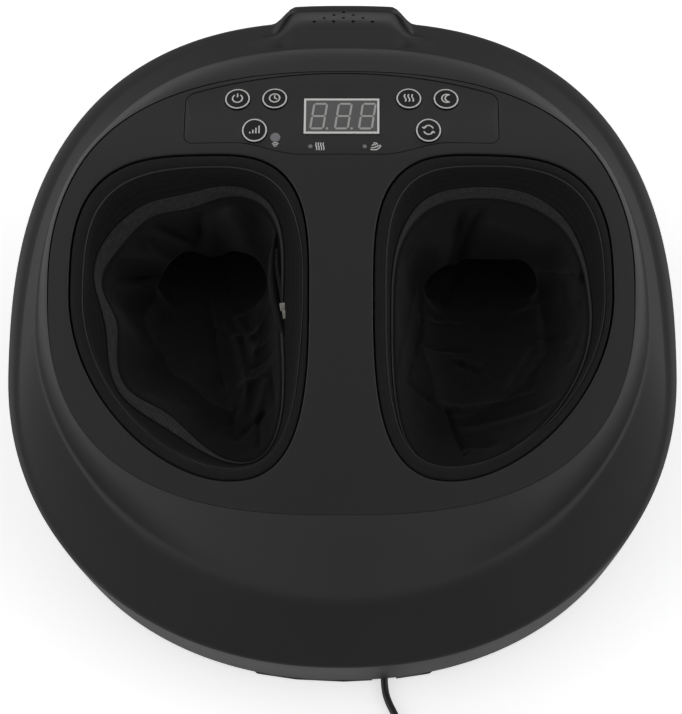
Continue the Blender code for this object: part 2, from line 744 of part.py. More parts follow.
def surface_turn(x, y):
    """Rotation whose Z stands square to the plateau and whose X stays level."""
    up = top_normal(x, y)
    across = Vector((0.0, 1.0, 0.0)).cross(up).normalized()
    return Matrix((across, up.cross(across), up)).transposed()


def make_control_panel():
    work = bmesh.new()
    rows = []
    for x in panel_places():
        near, far = panel_edge_y(x)
        row = []
        for step in range(PANEL_ROWS + 1):
            y = near + (far - near) * step / PANEL_ROWS
            row.append(work.verts.new((x, y, top_z(x, y) - PANEL_SINK)))
        rows.append(row)
    for left, right in zip(rows, rows[1:]):
        for step in range(PANEL_ROWS):
            work.faces.new((left[step], right[step], right[step + 1], left[step + 1]))
    lowered = bmesh.ops.extrude_face_region(work, geom=work.faces[:])
    moved = [item for item in lowered["geom"] if isinstance(item, bmesh.types.BMVert)]
    bmesh.ops.translate(work, verts=moved, vec=(0.0, 0.0, -PANEL_THICKNESS))
    panel = keep("control_panel", mesh_from(work), "panel_plastic")
    reach = PANEL_THICKNESS * 4
    bars = []
    for x, y in BUTTON_PLACES.values():
        bars.append((BUTTON_DIAMETER / 2 + CLEARANCE, reach, on_top(x, y), top_normal(x, y)))
    combine(panel, tool_bars("button_drills", bars, BUTTON_SIDES), "DIFFERENCE")
    small = [(RECEIVER_DIAMETER, RECEIVER_X, RECEIVER_Y)]
    small += [(LAMP_DIAMETER, x, y) for x, y in LAMP_PLACES.values()]
    bars = [(size / 2 + CLEARANCE, reach, on_top(x, y), top_normal(x, y)) for size, x, y in small]
    combine(panel, tool_bars("lamp_drills", bars, LENS_SIDES), "DIFFERENCE")
    work = bmesh.new()
    size = (DISPLAY_WIDTH + 2 * CLEARANCE, DISPLAY_DEPTH + 2 * CLEARANCE, reach)
    add_block(work, size, on_top(0.0, DISPLAY_Y), surface_turn(0.0, DISPLAY_Y))
    window = keep("window_cutter", mesh_from(work), "inner_plastic")
    return combine(panel, window, "DIFFERENCE")


def make_button(name, x, y):
    """Cap with a soft crown and a stem, standing square to the panel."""
    radius = BUTTON_DIAMETER / 2
    under = BUTTON_PROUD - BUTTON_BODY
    profile = ((radius * BUTTON_CROWN_SHARE, BUTTON_PROUD + BUTTON_CROWN / 2),
               (radius, BUTTON_PROUD - BUTTON_CROWN), (radius, under),
               (STEM_DIAMETER / 2, under), (STEM_DIAMETER / 2, under - STEM_LENGTH))
    rings = []
    for reach, z in profile:
        rings.append([Vector((reach * cos(angle), reach * sin(angle), z))
                      for angle in round_angles(BUTTON_SIDES)])
    cap = keep(name, mesh_from(loft(rings)), "button_rubber")
    cap.matrix_world = Matrix.Translation(on_top(x, y)) @ surface_turn(x, y).to_4x4()


def make_display():
    turn = surface_turn(0.0, DISPLAY_Y)
    up = top_normal(0.0, DISPLAY_Y)
    work = bmesh.new()
    top = on_top(0.0, DISPLAY_Y) - up * (PANEL_SINK + DISPLAY_THICKNESS / 2)
    add_block(work, (DISPLAY_WIDTH, DISPLAY_DEPTH, DISPLAY_THICKNESS), top, turn)
    keep("display_window", mesh_from(work), "window_acrylic")
    work = bmesh.new()
    low = top - up * (DISPLAY_THICKNESS / 2 + CLEARANCE + MODULE_HEIGHT / 2)
    add_block(work, (MODULE_WIDTH, MODULE_DEPTH, MODULE_HEIGHT), low, turn)
    keep("display_module", mesh_from(work), "inner_plastic")


def make_panel_parts():
    make_control_panel()
    for name, (x, y) in BUTTON_PLACES.items():
        make_button(name, x, y)
    make_display()
    lenses = {"receiver_window": (RECEIVER_DIAMETER, RECEIVER_X, RECEIVER_Y)}
    for name, (x, y) in LAMP_PLACES.items():
        lenses[name] = (LAMP_DIAMETER, x, y)
    for name, (size, x, y) in lenses.items():
        middle = on_top(x, y, -PANEL_SINK - LENS_HEIGHT / 2)
        round_bar(name, size / 2, LENS_HEIGHT, middle, top_normal(x, y), LENS_SIDES, "window_acrylic")


# Base tray, its feet and screws

def tray_ring(grow, z, nose=0.0):
    """Ring of the tray, with the nose pushed out at the near side."""
    ring = []
    for angle in shell_angles():
        x, y = outline_xy(EDGE, angle, -SHELL_FOOT_INSET - WALL + grow)
        step = smooth_share((NOSE_HALF_WIDTH - abs(x)) / NOSE_OUT) if y < EDGE_CENTRE_Y else 0.0
        ring.append(Vector((x, y - nose * step, z)))
    return ring


def post_places(mirror):
    """Places of the three chamber posts of one side."""
    return [(mirror * (CHAMBER_CENTRE_X + share_x * CHAMBER_HALF),
             CHAMBER_CENTRE_Y + share_y * CHAMBER_FAR) for share_x, share_y in POST_PLACE_SHARES]


def board_corners():
    """Places of the main board's standoffs."""
    half_x = MAIN_BOARD_SIZE[0] / 2 - 2 * STANDOFF_RADIUS
    half_y = MAIN_BOARD_SIZE[1] / 2 - 2 * STANDOFF_RADIUS
    return [(x, MAIN_BOARD_Y + y) for x in (-half_x, half_x) for y in (-half_y, half_y)]


def make_base_tray():
    shoulder_z = SHELL_FOOT_Z - CLEARANCE
    rim_z = TRAY_TOP_Z + TRAY_RIM_HEIGHT
    rings = [tray_ring(0.0, TRAY_BOTTOM_Z, NOSE_OUT), tray_ring(0.0, shoulder_z, NOSE_OUT),
             tray_ring(-TRAY_INSET, shoulder_z), tray_ring(-TRAY_INSET, rim_z),
             tray_ring(-TRAY_INSET - TRAY_WALL, rim_z), tray_ring(-TRAY_INSET - TRAY_WALL, TRAY_TOP_Z)]
    tray = keep("base_tray", mesh_from(loft(rings)), "shell_plastic")
    sunk = TRAY_FLOOR / 2
    work = bmesh.new()
    for side in (-1, 1):
        for edge in (-1, 1):
            y = SHAFT_Y + edge * (MOTOR_RADIUS + CLEARANCE + CRADLE_WIDTH / 2)
            size = (CRADLE_DEPTH, CRADLE_WIDTH, CRADLE_HEIGHT + sunk)
            add_block(work, size, Vector((side * CRADLE_SPREAD / 2, y, TRAY_TOP_Z + size[2] / 2 - sunk)))
    for x, y in board_corners():
        tall = STANDOFF_HEIGHT + sunk
        add_round(work, STANDOFF_RADIUS, tall, Vector((x, y, TRAY_TOP_Z - sunk + tall / 2)),
                  (0.0, 0.0, 1.0), STANDOFF_SIDES)
    combine(tray, keep("tray_bosses", mesh_from(work), "shell_plastic"), "UNION")
    bars = []
    for mirror in SIDES.values():
        for x, y in post_places(mirror):
            bars.append((SCREW_RADIUS + CLEARANCE, TRAY_FLOOR * 4, (x, y, TRAY_BOTTOM_Z), (0.0, 0.0, 1.0)))
    combine(tray, tool_bars("screw_drills", bars, SCREW_SIDES), "DIFFERENCE")
    deep = SCREW_HEAD_HEIGHT + CLEARANCE
    heads = [(SCREW_HEAD_RADIUS + CLEARANCE, 2 * deep, place, axis) for _, _, place, axis in bars]
    combine(tray, tool_bars("screw_recesses", heads, SCREW_SIDES), "DIFFERENCE")
    notch = bmesh.new()
    start = GLAND_Y + GLAND_BLOCK[1] / 2 + CLEARANCE
    finish = NEAR_Y - OVERRUN
    width = GLAND_BLOCK[0] + 2 * CLEARANCE
    tall = 2 * (TRAY_TOP_Z + GLAND_BLOCK[2])
    add_block(notch, (width, start - finish, tall), Vector((GLAND_X, (start + finish) / 2, 0.0)))
    return combine(tray, keep("gland_notch", mesh_from(notch), "shell_plastic"), "DIFFERENCE")


def make_feet():
    tall = FOOT_HEIGHT - CLEARANCE
    for side, mirror in SIDES.items():
        for end, y in (("near", FOOT_NEAR_Y), ("far", FOOT_FAR_Y)):
            place = (mirror * FOOT_X, y, tall / 2)
            round_bar(f"{side}_{end}_foot", FOOT_RADIUS, tall, place, (0.0, 0.0, -1.0),
                      FOOT_SIDES, "foot_rubber", FOOT_RADIUS - CLEARANCE * 2)


def make_screws():
    number = 0
    for mirror in SIDES.values():
        for x, y in post_places(mirror):
            number += 1
            rows = ((SCREW_HEAD_RADIUS, 0.0), (SCREW_HEAD_RADIUS, SCREW_HEAD_HEIGHT),
                    (SCREW_RADIUS, SCREW_HEAD_HEIGHT), (SCREW_RADIUS, SCREW_LENGTH))
            rings = [[Vector((reach * cos(angle), reach * sin(angle), z))
                      for angle in round_angles(SCREW_SIDES)] for reach, z in rows]
            screw = keep(f"base_screw_{number}", mesh_from(loft(rings)), "zinc_steel")
            screw.location = (x, y, TRAY_BOTTOM_Z)


# Foot chambers, collars and liners

def shoulder_z(y):
    """Height of a chamber's shoulder, which rises towards the toes."""
    near_y = CHAMBER_CENTRE_Y - CHAMBER_NEAR
    share = (y - near_y) / (CHAMBER_FAR + CHAMBER_NEAR)
    return CHAMBER_SHOULDER_NEAR_Z + (CHAMBER_SHOULDER_FAR_Z - CHAMBER_SHOULDER_NEAR_Z) * share


def chamber_ring(grow, height, mirror, count=WELL_COLUMNS):
    """Ring of the chamber's outline; height is a level or a rule of y."""
    ring = []
    for angle in round_angles(count):
        x, y = outline_xy(CHAMBER, angle, grow, mirror)
        ring.append(Vector((x, y, height(y) if callable(height) else height)))
    return ring


def well_ring(grow, below, mirror):
    """Ring of the well's outline, a distance below the plateau."""
    return [Vector((x, y, top_z(x, y) - below)) for x, y in well_points(grow, mirror)]


def make_chamber(side, mirror):
    low = CHAMBER_FLOOR_Z - CHAMBER_WALL
    hole = DISC_RADIUS + DISC_HOLE_GAP
    start = [Vector((mirror * (DISC_X + hole * cos(angle)), DISC_Y + hole * sin(angle), low))
             for angle in round_angles(WELL_COLUMNS)]
    under = COLLAR_DEPTH + 2 * CLEARANCE
    corner = CHAMBER_FILLET * (1 - sin(pi / 4))
    outer = [start, chamber_ring(-CHAMBER_FILLET, low, mirror),
             chamber_ring(-corner, low + corner, mirror),
             chamber_ring(0.0, low + CHAMBER_FILLET, mirror),
             chamber_ring(0.0, shoulder_z, mirror),
             well_ring(-RIM_INSET, under + CHAMBER_NECK, mirror),
             well_ring(-RIM_INSET, under, mirror)]
    centre = (mirror * CHAMBER_CENTRE_X, CHAMBER_CENTRE_Y)
    inner = inner_rings(outer, centre, CHAMBER_WALL, 1.0,
                        lambda out: Vector((0.0, 0.0, 1.0)), lambda out: -out)
    work = loft(outer + inner[::-1], ring_loop=True)
    chamber = keep(side + "_chamber", mesh_from(work), "inner_plastic")
    foot_z = TRAY_TOP_Z + CLEARANCE
    tall = low + CHAMBER_WALL / 2 - foot_z
    posts = [(POST_RADIUS, tall, (x, y, foot_z + tall / 2), (0.0, 0.0, 1.0))
             for x, y in post_places(mirror)]
    combine(chamber, tool_bars(side + "_posts", posts, POST_SIDES), "UNION")
    deep = TRAY_BOTTOM_Z + SCREW_LENGTH + SCREW_RADIUS
    bores = [(SCREW_RADIUS + CLEARANCE, 2 * (deep - foot_z), (x, y, foot_z), (0.0, 0.0, 1.0))
             for x, y in post_places(mirror)]
    combine(chamber, tool_bars(side + "_post_drills", bores, SCREW_SIDES), "DIFFERENCE")
    wall_x = mirror * CHAMBER_BRIDGE_X
    port = [(HOSE_RADIUS + HOSE_HOLE_GAP, CHAMBER_WALL * 4, (wall_x, VALVE_Y, CELL_Z), (1.0, 0.0, 0.0))]
    return combine(chamber, tool_bars(side + "_hose_drill", port, SCREW_SIDES), "DIFFERENCE")


def make_collar(side, mirror):
    rows = ((0.0, -COLLAR_DEPTH), (0.0, COLLAR_PROUD - COLLAR_ROLL),
            (-COLLAR_ROLL, COLLAR_PROUD), (COLLAR_ROLL - COLLAR_WIDTH, COLLAR_PROUD),
            (-COLLAR_WIDTH, COLLAR_PROUD - COLLAR_ROLL), (-COLLAR_WIDTH, -COLLAR_DEPTH))
    rings = [well_ring(grow, -above, mirror) for grow, above in rows]
    return keep(side + "_collar", mesh_from(loft(rings, ring_loop=True)), "collar_fabric")


def make_liner(side, mirror):
    """Cloth bag: hangs from the collar, swells below it in folds, lies on the discs."""
    hem = -COLLAR_WIDTH - CLEARANCE
    inset = -CHAMBER_WALL - LINER_GAP
    outer = [well_ring(hem, COLLAR_PROUD, mirror), well_ring(hem, COLLAR_DEPTH, mirror)]
    top_ring = well_ring(hem - LINER_FOLD, COLLAR_DEPTH + CHAMBER_NECK, mirror)
    low_ring = chamber_ring(inset, LINER_FLOOR_Z + LINER_FLOOR_ROUND, mirror)
    waist = chamber_ring(inset, lambda y: shoulder_z(y) - LINER_GAP, mirror)
    centre = Vector((mirror * CHAMBER_CENTRE_X, CHAMBER_CENTRE_Y, 0.0))
    outer.append(top_ring)
    for row, share in enumerate(LINER_ROW_SHARES):
        ring = []
        for index, angle in enumerate(round_angles(WELL_COLUMNS)):
            point = waist[index].lerp(low_ring[index], share)
            out = Vector((point.x - centre.x, point.y - centre.y, 0.0)).normalized()
            fold = LINER_FOLD * sin(LINER_FOLDS * angle + row * LINER_TURN)
            ring.append(point + out * (fold - LINER_FOLD))
        outer.append(ring)
    outer.append(chamber_ring(inset - LINER_FOLD - LINER_FLOOR_ROUND, LINER_FLOOR_Z, mirror))
    inner = inner_rings(outer, (centre.x, centre.y), LINER_WALL, -1.0,
                        lambda out: -out, lambda out: Vector((0.0, 0.0, 1.0)))
    work = loft(outer[::-1] + inner)
    return keep(side + "_liner", mesh_from(work, radians(60.0)), "liner_cloth")


# Kneading discs and their drive

def make_disc(side, mirror):
    """Disc with its nodes and spindle, turning about its own upright axis."""
    low = CHAMBER_FLOOR_Z - DISC_DROP
    disc = round_bar(side + "_kneading_disc", DISC_RADIUS, DISC_THICKNESS,
                     (0.0, 0.0, low + DISC_THICKNESS / 2), (0.0, 0.0, 1.0), DISC_SIDES, "gear_plastic")
    work = bmesh.new()
    sunk = DISC_THICKNESS / 4
    foot_z = CASE_LOW_Z + CASE_WALL + CLEARANCE
    tall = low + sunk - foot_z
    add_round(work, SPINDLE_RADIUS, tall, Vector((0.0, 0.0, foot_z + tall / 2)),
              (0.0, 0.0, 1.0), SPINDLE_SIDES)
    combine(disc, keep(side + "_spindle", mesh_from(work), "gear_plastic"), "UNION")
    work = bmesh.new()
    for turn in round_angles(NODE_COUNT):
        middle = Vector((NODE_ORBIT * cos(turn), NODE_ORBIT * sin(turn), low + DISC_THICKNESS - sunk))
        rows = [[work.verts.new(middle + Vector((NODE_RADIUS * reach * cos(angle),
                                                 NODE_RADIUS * reach * sin(angle), NODE_HEIGHT * rise)))
                 for angle in round_angles(NODE_SIDES)] for reach, rise in NODE_ROW_SHARES]
        for lower, upper in zip(rows, rows[1:]):
            for index in range(NODE_SIDES):
                after = (index + 1) % NODE_SIDES
                work.faces.new((lower[index], lower[after], upper[after], upper[index]))
        work.faces.new(reversed(rows[0]))
        work.faces.new(rows[-1])
    combine(disc, keep(side + "_nodes", mesh_from(work), "gear_plastic"), "UNION")
    place_on_spindle(disc, mirror)
    return disc


def place_on_spindle(piece, mirror):
    """Put a turning piece, and what shapes it, on the spindle's axis."""
    piece.location = (mirror * DISC_X, DISC_Y, 0.0)
    for step in piece.modifiers:
        step.object.location = piece.location


def make_wheel(side, mirror):
    """Toothed drive wheel, bored for the spindle, level with the shaft."""
    root = WHEEL_PITCH_RADIUS - TOOTH_DEDENDUM
    pitch = 2 * pi / WHEEL_TEETH
    corners = ((-TOOTH_ROOT_SHARE / 2, root), (-TOOTH_TIP_SHARE / 2, TOOTH_TIP_RADIUS),
               (TOOTH_TIP_SHARE / 2, TOOTH_TIP_RADIUS), (TOOTH_ROOT_SHARE / 2, root))
    points = []
    for tooth in range(WHEEL_TEETH):
        for share, reach in corners:
            angle = pitch * (tooth + share)
            points.append((reach * cos(angle), reach * sin(angle)))
    work = prism(points, SHAFT_Z - WHEEL_FACE / 2, SHAFT_Z + WHEEL_FACE / 2)
    wheel = keep(side + "_drive_wheel", mesh_from(work), "gear_plastic")
    bore = [(SPINDLE_RADIUS + CLEARANCE, WHEEL_FACE * 2, (0.0, 0.0, SHAFT_Z), (0.0, 0.0, 1.0))]
    combine(wheel, tool_bars(side + "_wheel_drill", bore, SPINDLE_SIDES), "DIFFERENCE")
    place_on_spindle(wheel, mirror)
    return wheel


def worm_rows(middle, hand):
    """Rows of one worm: its distance along the shaft and its radii."""
    root = WORM_PITCH_RADIUS - WORM_ROOT_DROP
    half = round(WORM_TURNS * WORM_STEPS / 2)
    rows = []
    for step in range(-half, half + 1):
        radii = []
        for index in range(WORM_STEPS):
            phase = (index - hand * step + WORM_STEPS // 2) % WORM_STEPS - WORM_STEPS // 2
            radii.append(WORM_TIP_RADIUS if abs(phase) <= THREAD_STEPS else root)
        rows.append((middle + step * WORM_LEAD / WORM_STEPS, radii))
    before = rows[0][0] - WORM_LEAD / WORM_STEPS
    after = rows[-1][0] + WORM_LEAD / WORM_STEPS
    return [(before, [SHAFT_RADIUS] * WORM_STEPS)] + rows + [(after, [SHAFT_RADIUS] * WORM_STEPS)]


def make_cross_shaft():
    """Shaft right through the motor, with worms of opposite hand at its ends."""
    end = DISC_X + SHAFT_END_OVER
    plain = [SHAFT_RADIUS] * WORM_STEPS
    rows = [(-end, plain)] + worm_rows(-DISC_X, 1) + worm_rows(DISC_X, -1) + [(end, plain)]
    rings = []
    for x, radii in rows:
        rings.append([Vector((x, reach * cos(angle), reach * sin(angle)))
                      for reach, angle in zip(radii, round_angles(WORM_STEPS))])
    shaft = keep("worm_shaft", mesh_from(loft(rings)), "zinc_steel")
    shaft.location = (0.0, SHAFT_Y, SHAFT_Z)
    return shaft


def make_gear_case(side, mirror):
    half_x = TOOTH_TIP_RADIUS + CASE_SIDE_GAP + CASE_WALL
    near = SHAFT_Y - WORM_TIP_RADIUS - CASE_NEAR_GAP - CASE_WALL
    far = DISC_Y + TOOTH_TIP_RADIUS + CASE_SIDE_GAP + CASE_WALL
    middle = Vector((mirror * DISC_X, (near + far) / 2, (CASE_LOW_Z + CASE_TOP_Z) / 2))
    size = (2 * half_x, far - near, CASE_TOP_Z - CASE_LOW_Z)
    case = block(side + "_gear_case", size, middle, "inner_plastic")
    work = bmesh.new()
    hollow = (size[0] - 2 * CASE_WALL, size[1] - 2 * CASE_WALL, size[2])
    add_block(work, hollow, middle + Vector((0.0, 0.0, CASE_WALL)))
    combine(case, keep(side + "_case_hollow", mesh_from(work), "inner_plastic"), "DIFFERENCE")
    bore = [(SHAFT_RADIUS + CLEARANCE, size[0] * 2, (middle.x, SHAFT_Y, SHAFT_Z), (1.0, 0.0, 0.0))]
    combine(case, tool_bars(side + "_case_drill", bore, WORM_STEPS), "DIFFERENCE")
    cover_z = CASE_TOP_Z + CLEARANCE + CASE_COVER / 2
    cover = block(side + "_gear_cover", (size[0], size[1], CASE_COVER), (middle.x, middle.y, cover_z),
                  "inner_plastic")
    hole = [(SPINDLE_RADIUS + CLEARANCE, CASE_COVER * 3, (middle.x, DISC_Y, cover_z), (0.0, 0.0, 1.0))]
    combine(cover, tool_bars(side + "_cover_drill", hole, SPINDLE_SIDES), "DIFFERENCE")


def make_motor():
    motor = round_bar("kneading_motor", MOTOR_RADIUS, MOTOR_LENGTH, (0.0, SHAFT_Y, SHAFT_Z),
                      (1.0, 0.0, 0.0), MOTOR_SIDES, "zinc_steel")
    bore = [(SHAFT_RADIUS + CLEARANCE, MOTOR_LENGTH * 2, (0.0, SHAFT_Y, SHAFT_Z), (1.0, 0.0, 0.0))]
    return combine(motor, tool_bars("motor_drill", bore, WORM_STEPS), "DIFFERENCE")


# Air pump, valves, hoses, cells, heaters and boards

def tube(name, points, radius, finish, resolution=2):
    """Capped tube along a row of points, as a curve."""
    data = bpy.data.curves.new(name, "CURVE")
    data.dimensions = "3D"
    data.bevel_depth = radius
    data.bevel_resolution = resolution
    data.use_fill_caps = True
    spline = data.splines.new("POLY")
    spline.points.add(len(points) - 1)
    for slot, point in zip(spline.points, points):
        slot.co = (*point, 1.0)
    made = bpy.data.objects.new(name, data)
    data.materials.append(material(finish, *MATERIALS[finish]))
    parts.objects.link(made)
    return made


def make_air_system():
    floor_z = TRAY_TOP_Z + CLEARANCE
    block("air_pump", PUMP_SIZE, (0.0, PUMP_Y, floor_z + PUMP_SIZE[2] / 2), "inner_plastic")
    block("valve_block", VALVE_SIZE, (0.0, VALVE_Y, floor_z + VALVE_SIZE[2] / 2), "inner_plastic")
    port_z = floor_z + VALVE_SIZE[2] + CLEARANCE
    inner_x = CHAMBER_BRIDGE_X + CHAMBER_WALL
    for side, mirror in SIDES.items():
        cell_x = inner_x + CELL_BACK_GAP + CELL_SIZE[0] / 2
        cell = block(side + "_air_cell", CELL_SIZE, (mirror * cell_x, VALVE_Y, CELL_Z), "air_vinyl")
        soft = cell.modifiers.new("soft edge", "BEVEL")
        soft.width = CELL_ROUND
        soft.segments = 2
        end_x = inner_x + CELL_BACK_GAP - CLEARANCE
        points = [Vector((mirror * VALVE_PORT_X, VALVE_Y, port_z))]
        for step in range(HOSE_POINTS + 1):
            angle = pi / 2 * step / HOSE_POINTS
            reach = min(HOSE_BEND, CHAMBER_BRIDGE_X - VALVE_PORT_X)
            points.append(Vector((mirror * (VALVE_PORT_X + reach * (1 - cos(angle))), VALVE_Y,
                                  CELL_Z - reach * (1 - sin(angle)))))
        points.append(Vector((mirror * end_x, VALVE_Y, CELL_Z)))
        tube(side + "_air_hose", points, HOSE_RADIUS, "cord_vinyl")
        heater_z = CHAMBER_FLOOR_Z + CLEARANCE + HEATER_THICKNESS / 2
        size = (2 * (CHAMBER_HALF - HEATER_SIDE_GAP), HEATER_DEPTH, HEATER_THICKNESS)
        block(side + "_sole_heater", size, (mirror * CHAMBER_CENTRE_X, HEATER_Y, heater_z), "heater_film")


def make_boards():
    board_z = TRAY_TOP_Z + STANDOFF_HEIGHT + CLEARANCE + MAIN_BOARD_SIZE[2] / 2
    board = block("main_board", MAIN_BOARD_SIZE, (0.0, MAIN_BOARD_Y, board_z), "board_laminate")
    work = bmesh.new()
    add_block(work, CHIP_SIZE, Vector((0.0, MAIN_BOARD_Y, board_z + CHIP_SIZE[2] / 2)))
    combine(board, keep("board_parts", mesh_from(work), "board_laminate"), "UNION")
    turn = surface_turn(0.0, DISPLAY_Y)
    up = top_normal(0.0, DISPLAY_Y)
    below = BOARD_DEPTH + CONTROL_BOARD_SIZE[2] / 2
    work = bmesh.new()
    add_block(work, CONTROL_BOARD_SIZE, on_top(0.0, DISPLAY_Y) - up * below, turn)
    keep("control_board", mesh_from(work), "board_laminate")


# Lead, coil, tie and power supply

def make_gland():
    z = GLAND_AXIS_Z
    gland = block("cord_gland", GLAND_BLOCK, (GLAND_X, GLAND_Y, TRAY_BOTTOM_Z + GLAND_BLOCK[2] / 2),
                  "cord_vinyl")
    work = bmesh.new()
    length = GLAND_LENGTH + GLAND_BLOCK[1] / 2
    add_round(work, GLAND_ROOT_RADIUS, length, Vector((GLAND_X, GLAND_Y - length / 2, z)),
              (0.0, -1.0, 0.0), GLAND_SIDES, GLAND_TIP_RADIUS)
    return combine(gland, keep("gland_cone", mesh_from(work), "cord_vinyl"), "UNION")


def smooth_route(points, steps):
    """Catmull-Rom curve through the points, with a number of steps between each two."""
    route = []
    padded = [points[0] * 2 - points[1]] + points + [points[-1] * 2 - points[-2]]
    for before, start, end, after in zip(padded, padded[1:], padded[2:], padded[3:]):
        for step in range(steps):
            share = step / steps
            route.append(0.5 * (2 * start + (end - before) * share
                                + (2 * before - 5 * start + 4 * end - after) * share ** 2
                                + (3 * start - before - 3 * end + after) * share ** 3))
    return route + [points[-1]]


LEAD_ROUTE = [(0.0250, -0.1833, 0.0052), (0.0250, -0.1880, 0.0048), (0.0251, -0.1930, 0.0036),
              (0.0254, -0.1985, 0.0026), (0.0263, -0.2040, 0.0023), (0.0285, -0.2100, 0.0023),
              (0.0325, -0.2180, 0.0023), (0.0375, -0.2300, 0.0023), (0.0425, -0.2450, 0.0024),
              (0.0465, -0.2610, 0.0026), (0.0525, -0.2765, 0.0028), (0.0612, -0.2885, 0.0031)]


def coil_points():
    """Two layers of turns that spiral in, climb at the inner turn, and spiral out."""
    turns = COIL_TURNS + (COIL_END - COIL_START) / (2 * pi)
    count = round(turns * LOOP_POINTS)
    low = CORD_RADIUS + COIL_LIFT
    points = []
    for step in range(count + 1):
        turn = turns * step / count
        past = turn - turns / 2
        reach = COIL_INNER + COIL_PITCH * abs(past)
        angle = COIL_START + 2 * pi * turn
        z = low + COIL_LAYER_PITCH * smooth_share(2 * past + 0.5)
        points.append(Vector((COIL_X + reach * cos(angle), COIL_Y + reach * sin(angle), z)))
    return points


def least_gap(points, skip):
    """Least clear distance of a tube to itself, between points more than skip apart."""
    least = min((points[first] - points[second]).length
                for first in range(len(points)) for second in range(first + skip, len(points)))
    return least - 2 * CORD_RADIUS


def make_cord():
    coil = coil_points()
    print("least gap of the coil to itself, mm:", round(least_gap(coil, LOOP_POINTS // 2) * 1000, 2))
    lead_in = (coil[0] - coil[1]).normalized()
    straight = 2 * CORD_RADIUS
    start = coil[0] + lead_in * straight
    tail = coil[-1] + Vector((COIL_TAIL, 0.0, 0.0))
    tube("cord_coil", [start] + coil + [tail], CORD_RADIUS, "cord_vinyl", 1)
    route = [Vector(point) for point in LEAD_ROUTE]
    route.append(start + lead_in * (straight + CLEARANCE))
    route.append(start + lead_in * CLEARANCE)
    tube("cord_lead", smooth_route(route, 3), CORD_RADIUS, "cord_vinyl")
    make_tie()
    make_adapter(tail)


def make_tie():
    """Flat tie closed round the coil's turns."""
    turns = COIL_TURNS + (COIL_END - COIL_START) / (2 * pi)
    slack = CORD_RADIUS + TIE_SLACK
    inside = COIL_INNER - slack
    outside = COIL_INNER + COIL_PITCH * turns / 2 + slack
    low = TIE_THICKNESS
    high = COIL_LIFT + 2 * CORD_RADIUS + COIL_LAYER_PITCH + TIE_SLACK
    out = Vector((cos(TIE_ANGLE), sin(TIE_ANGLE), 0.0))
    along = Vector((-sin(TIE_ANGLE), cos(TIE_ANGLE), 0.0)) * (TIE_WIDTH / 2)
    middle = Vector((COIL_X, COIL_Y, 0.0))
    rings = []
    for grow, side in ((TIE_THICKNESS, -1), (TIE_THICKNESS, 1), (0.0, 1), (0.0, -1)):
        corners = ((inside - grow, low - grow), (outside + grow, low - grow),
                   (outside + grow, high + grow), (inside - grow, high + grow))
        rings.append([middle + out * reach + along * side + Vector((0.0, 0.0, z)) for reach, z in corners])
    keep("coil_tie", mesh_from(loft(rings, ring_loop=True)), "cord_vinyl")


def make_adapter(tail):
    middle = Vector((tail.x + CLEARANCE + ADAPTER_SIZE[0] / 2, tail.y + ADAPTER_SHIFT, ADAPTER_SIZE[2] / 2))
    case = block("power_adapter", ADAPTER_SIZE, middle, "shell_plastic")
    soft = case.modifiers.new("round edge", "BEVEL")
    soft.width = ADAPTER_ROUND
    soft.segments = 2
    out = ADAPTER_SIZE[0] / 2 + CLEARANCE + PIN_SIZE[0] / 2
    for name, side in (("adapter_pin_1", -1), ("adapter_pin_2", 1)):
        place = middle + Vector((out, side * PIN_SPACING / 2, 0.0))
        block(name, PIN_SIZE, place, "zinc_steel")


make_outer_shell()
make_top_cover()
make_panel_parts()
make_base_tray()
make_feet()
make_screws()
for side_name, mirror_sign in SIDES.items():
    make_chamber(side_name, mirror_sign)
    make_collar(side_name, mirror_sign)
    make_liner(side_name, mirror_sign)
    make_disc(side_name, mirror_sign)
    make_wheel(side_name, mirror_sign)
    make_gear_case(side_name, mirror_sign)
make_cross_shaft()
make_motor()
make_air_system()
make_boards()
make_gland()
make_cord()
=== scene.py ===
"""Looks of the foot massager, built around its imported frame. Metres, +Z up, the user at -Y."""
from collections import namedtuple
from math import atan2, cos, exp, hypot, pi, radians, sin, sqrt, tan

import bmesh
import bpy
import numpy as np
from mathutils import Matrix, Vector, geometry, noise


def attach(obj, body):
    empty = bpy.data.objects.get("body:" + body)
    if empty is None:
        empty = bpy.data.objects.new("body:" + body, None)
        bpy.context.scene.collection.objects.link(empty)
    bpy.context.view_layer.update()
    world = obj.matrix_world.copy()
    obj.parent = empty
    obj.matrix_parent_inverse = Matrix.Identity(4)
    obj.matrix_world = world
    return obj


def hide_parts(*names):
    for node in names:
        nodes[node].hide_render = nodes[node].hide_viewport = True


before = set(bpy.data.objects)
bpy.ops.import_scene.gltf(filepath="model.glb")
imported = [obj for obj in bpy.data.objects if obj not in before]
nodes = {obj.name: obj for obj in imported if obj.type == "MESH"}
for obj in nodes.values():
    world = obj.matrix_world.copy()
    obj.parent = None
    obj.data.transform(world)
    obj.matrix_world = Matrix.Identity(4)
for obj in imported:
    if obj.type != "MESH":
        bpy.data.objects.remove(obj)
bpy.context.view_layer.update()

bpy.ops.object.select_all(action="DESELECT")

# Camera: nearly overhead on the user's side, as the photograph was taken. The picture is
# 682 by 714 pixels. The camera stood a little right of the object, and the picture is cropped
# so that the object's middle stands two pixels right of the picture's.
PICTURE_HEIGHT = 714
MIDDLE_OFFSET = 34.9
VIEW_TARGET = Vector((0.020, -0.0215, 0.105))
VIEW_TILT = radians(21.0)
VIEW_DISTANCE = 1.15
TO_CAMERA = Vector((0.0, -sin(VIEW_TILT), cos(VIEW_TILT)))
LENS_MM = 97.1
SENSOR_MM = 36.0

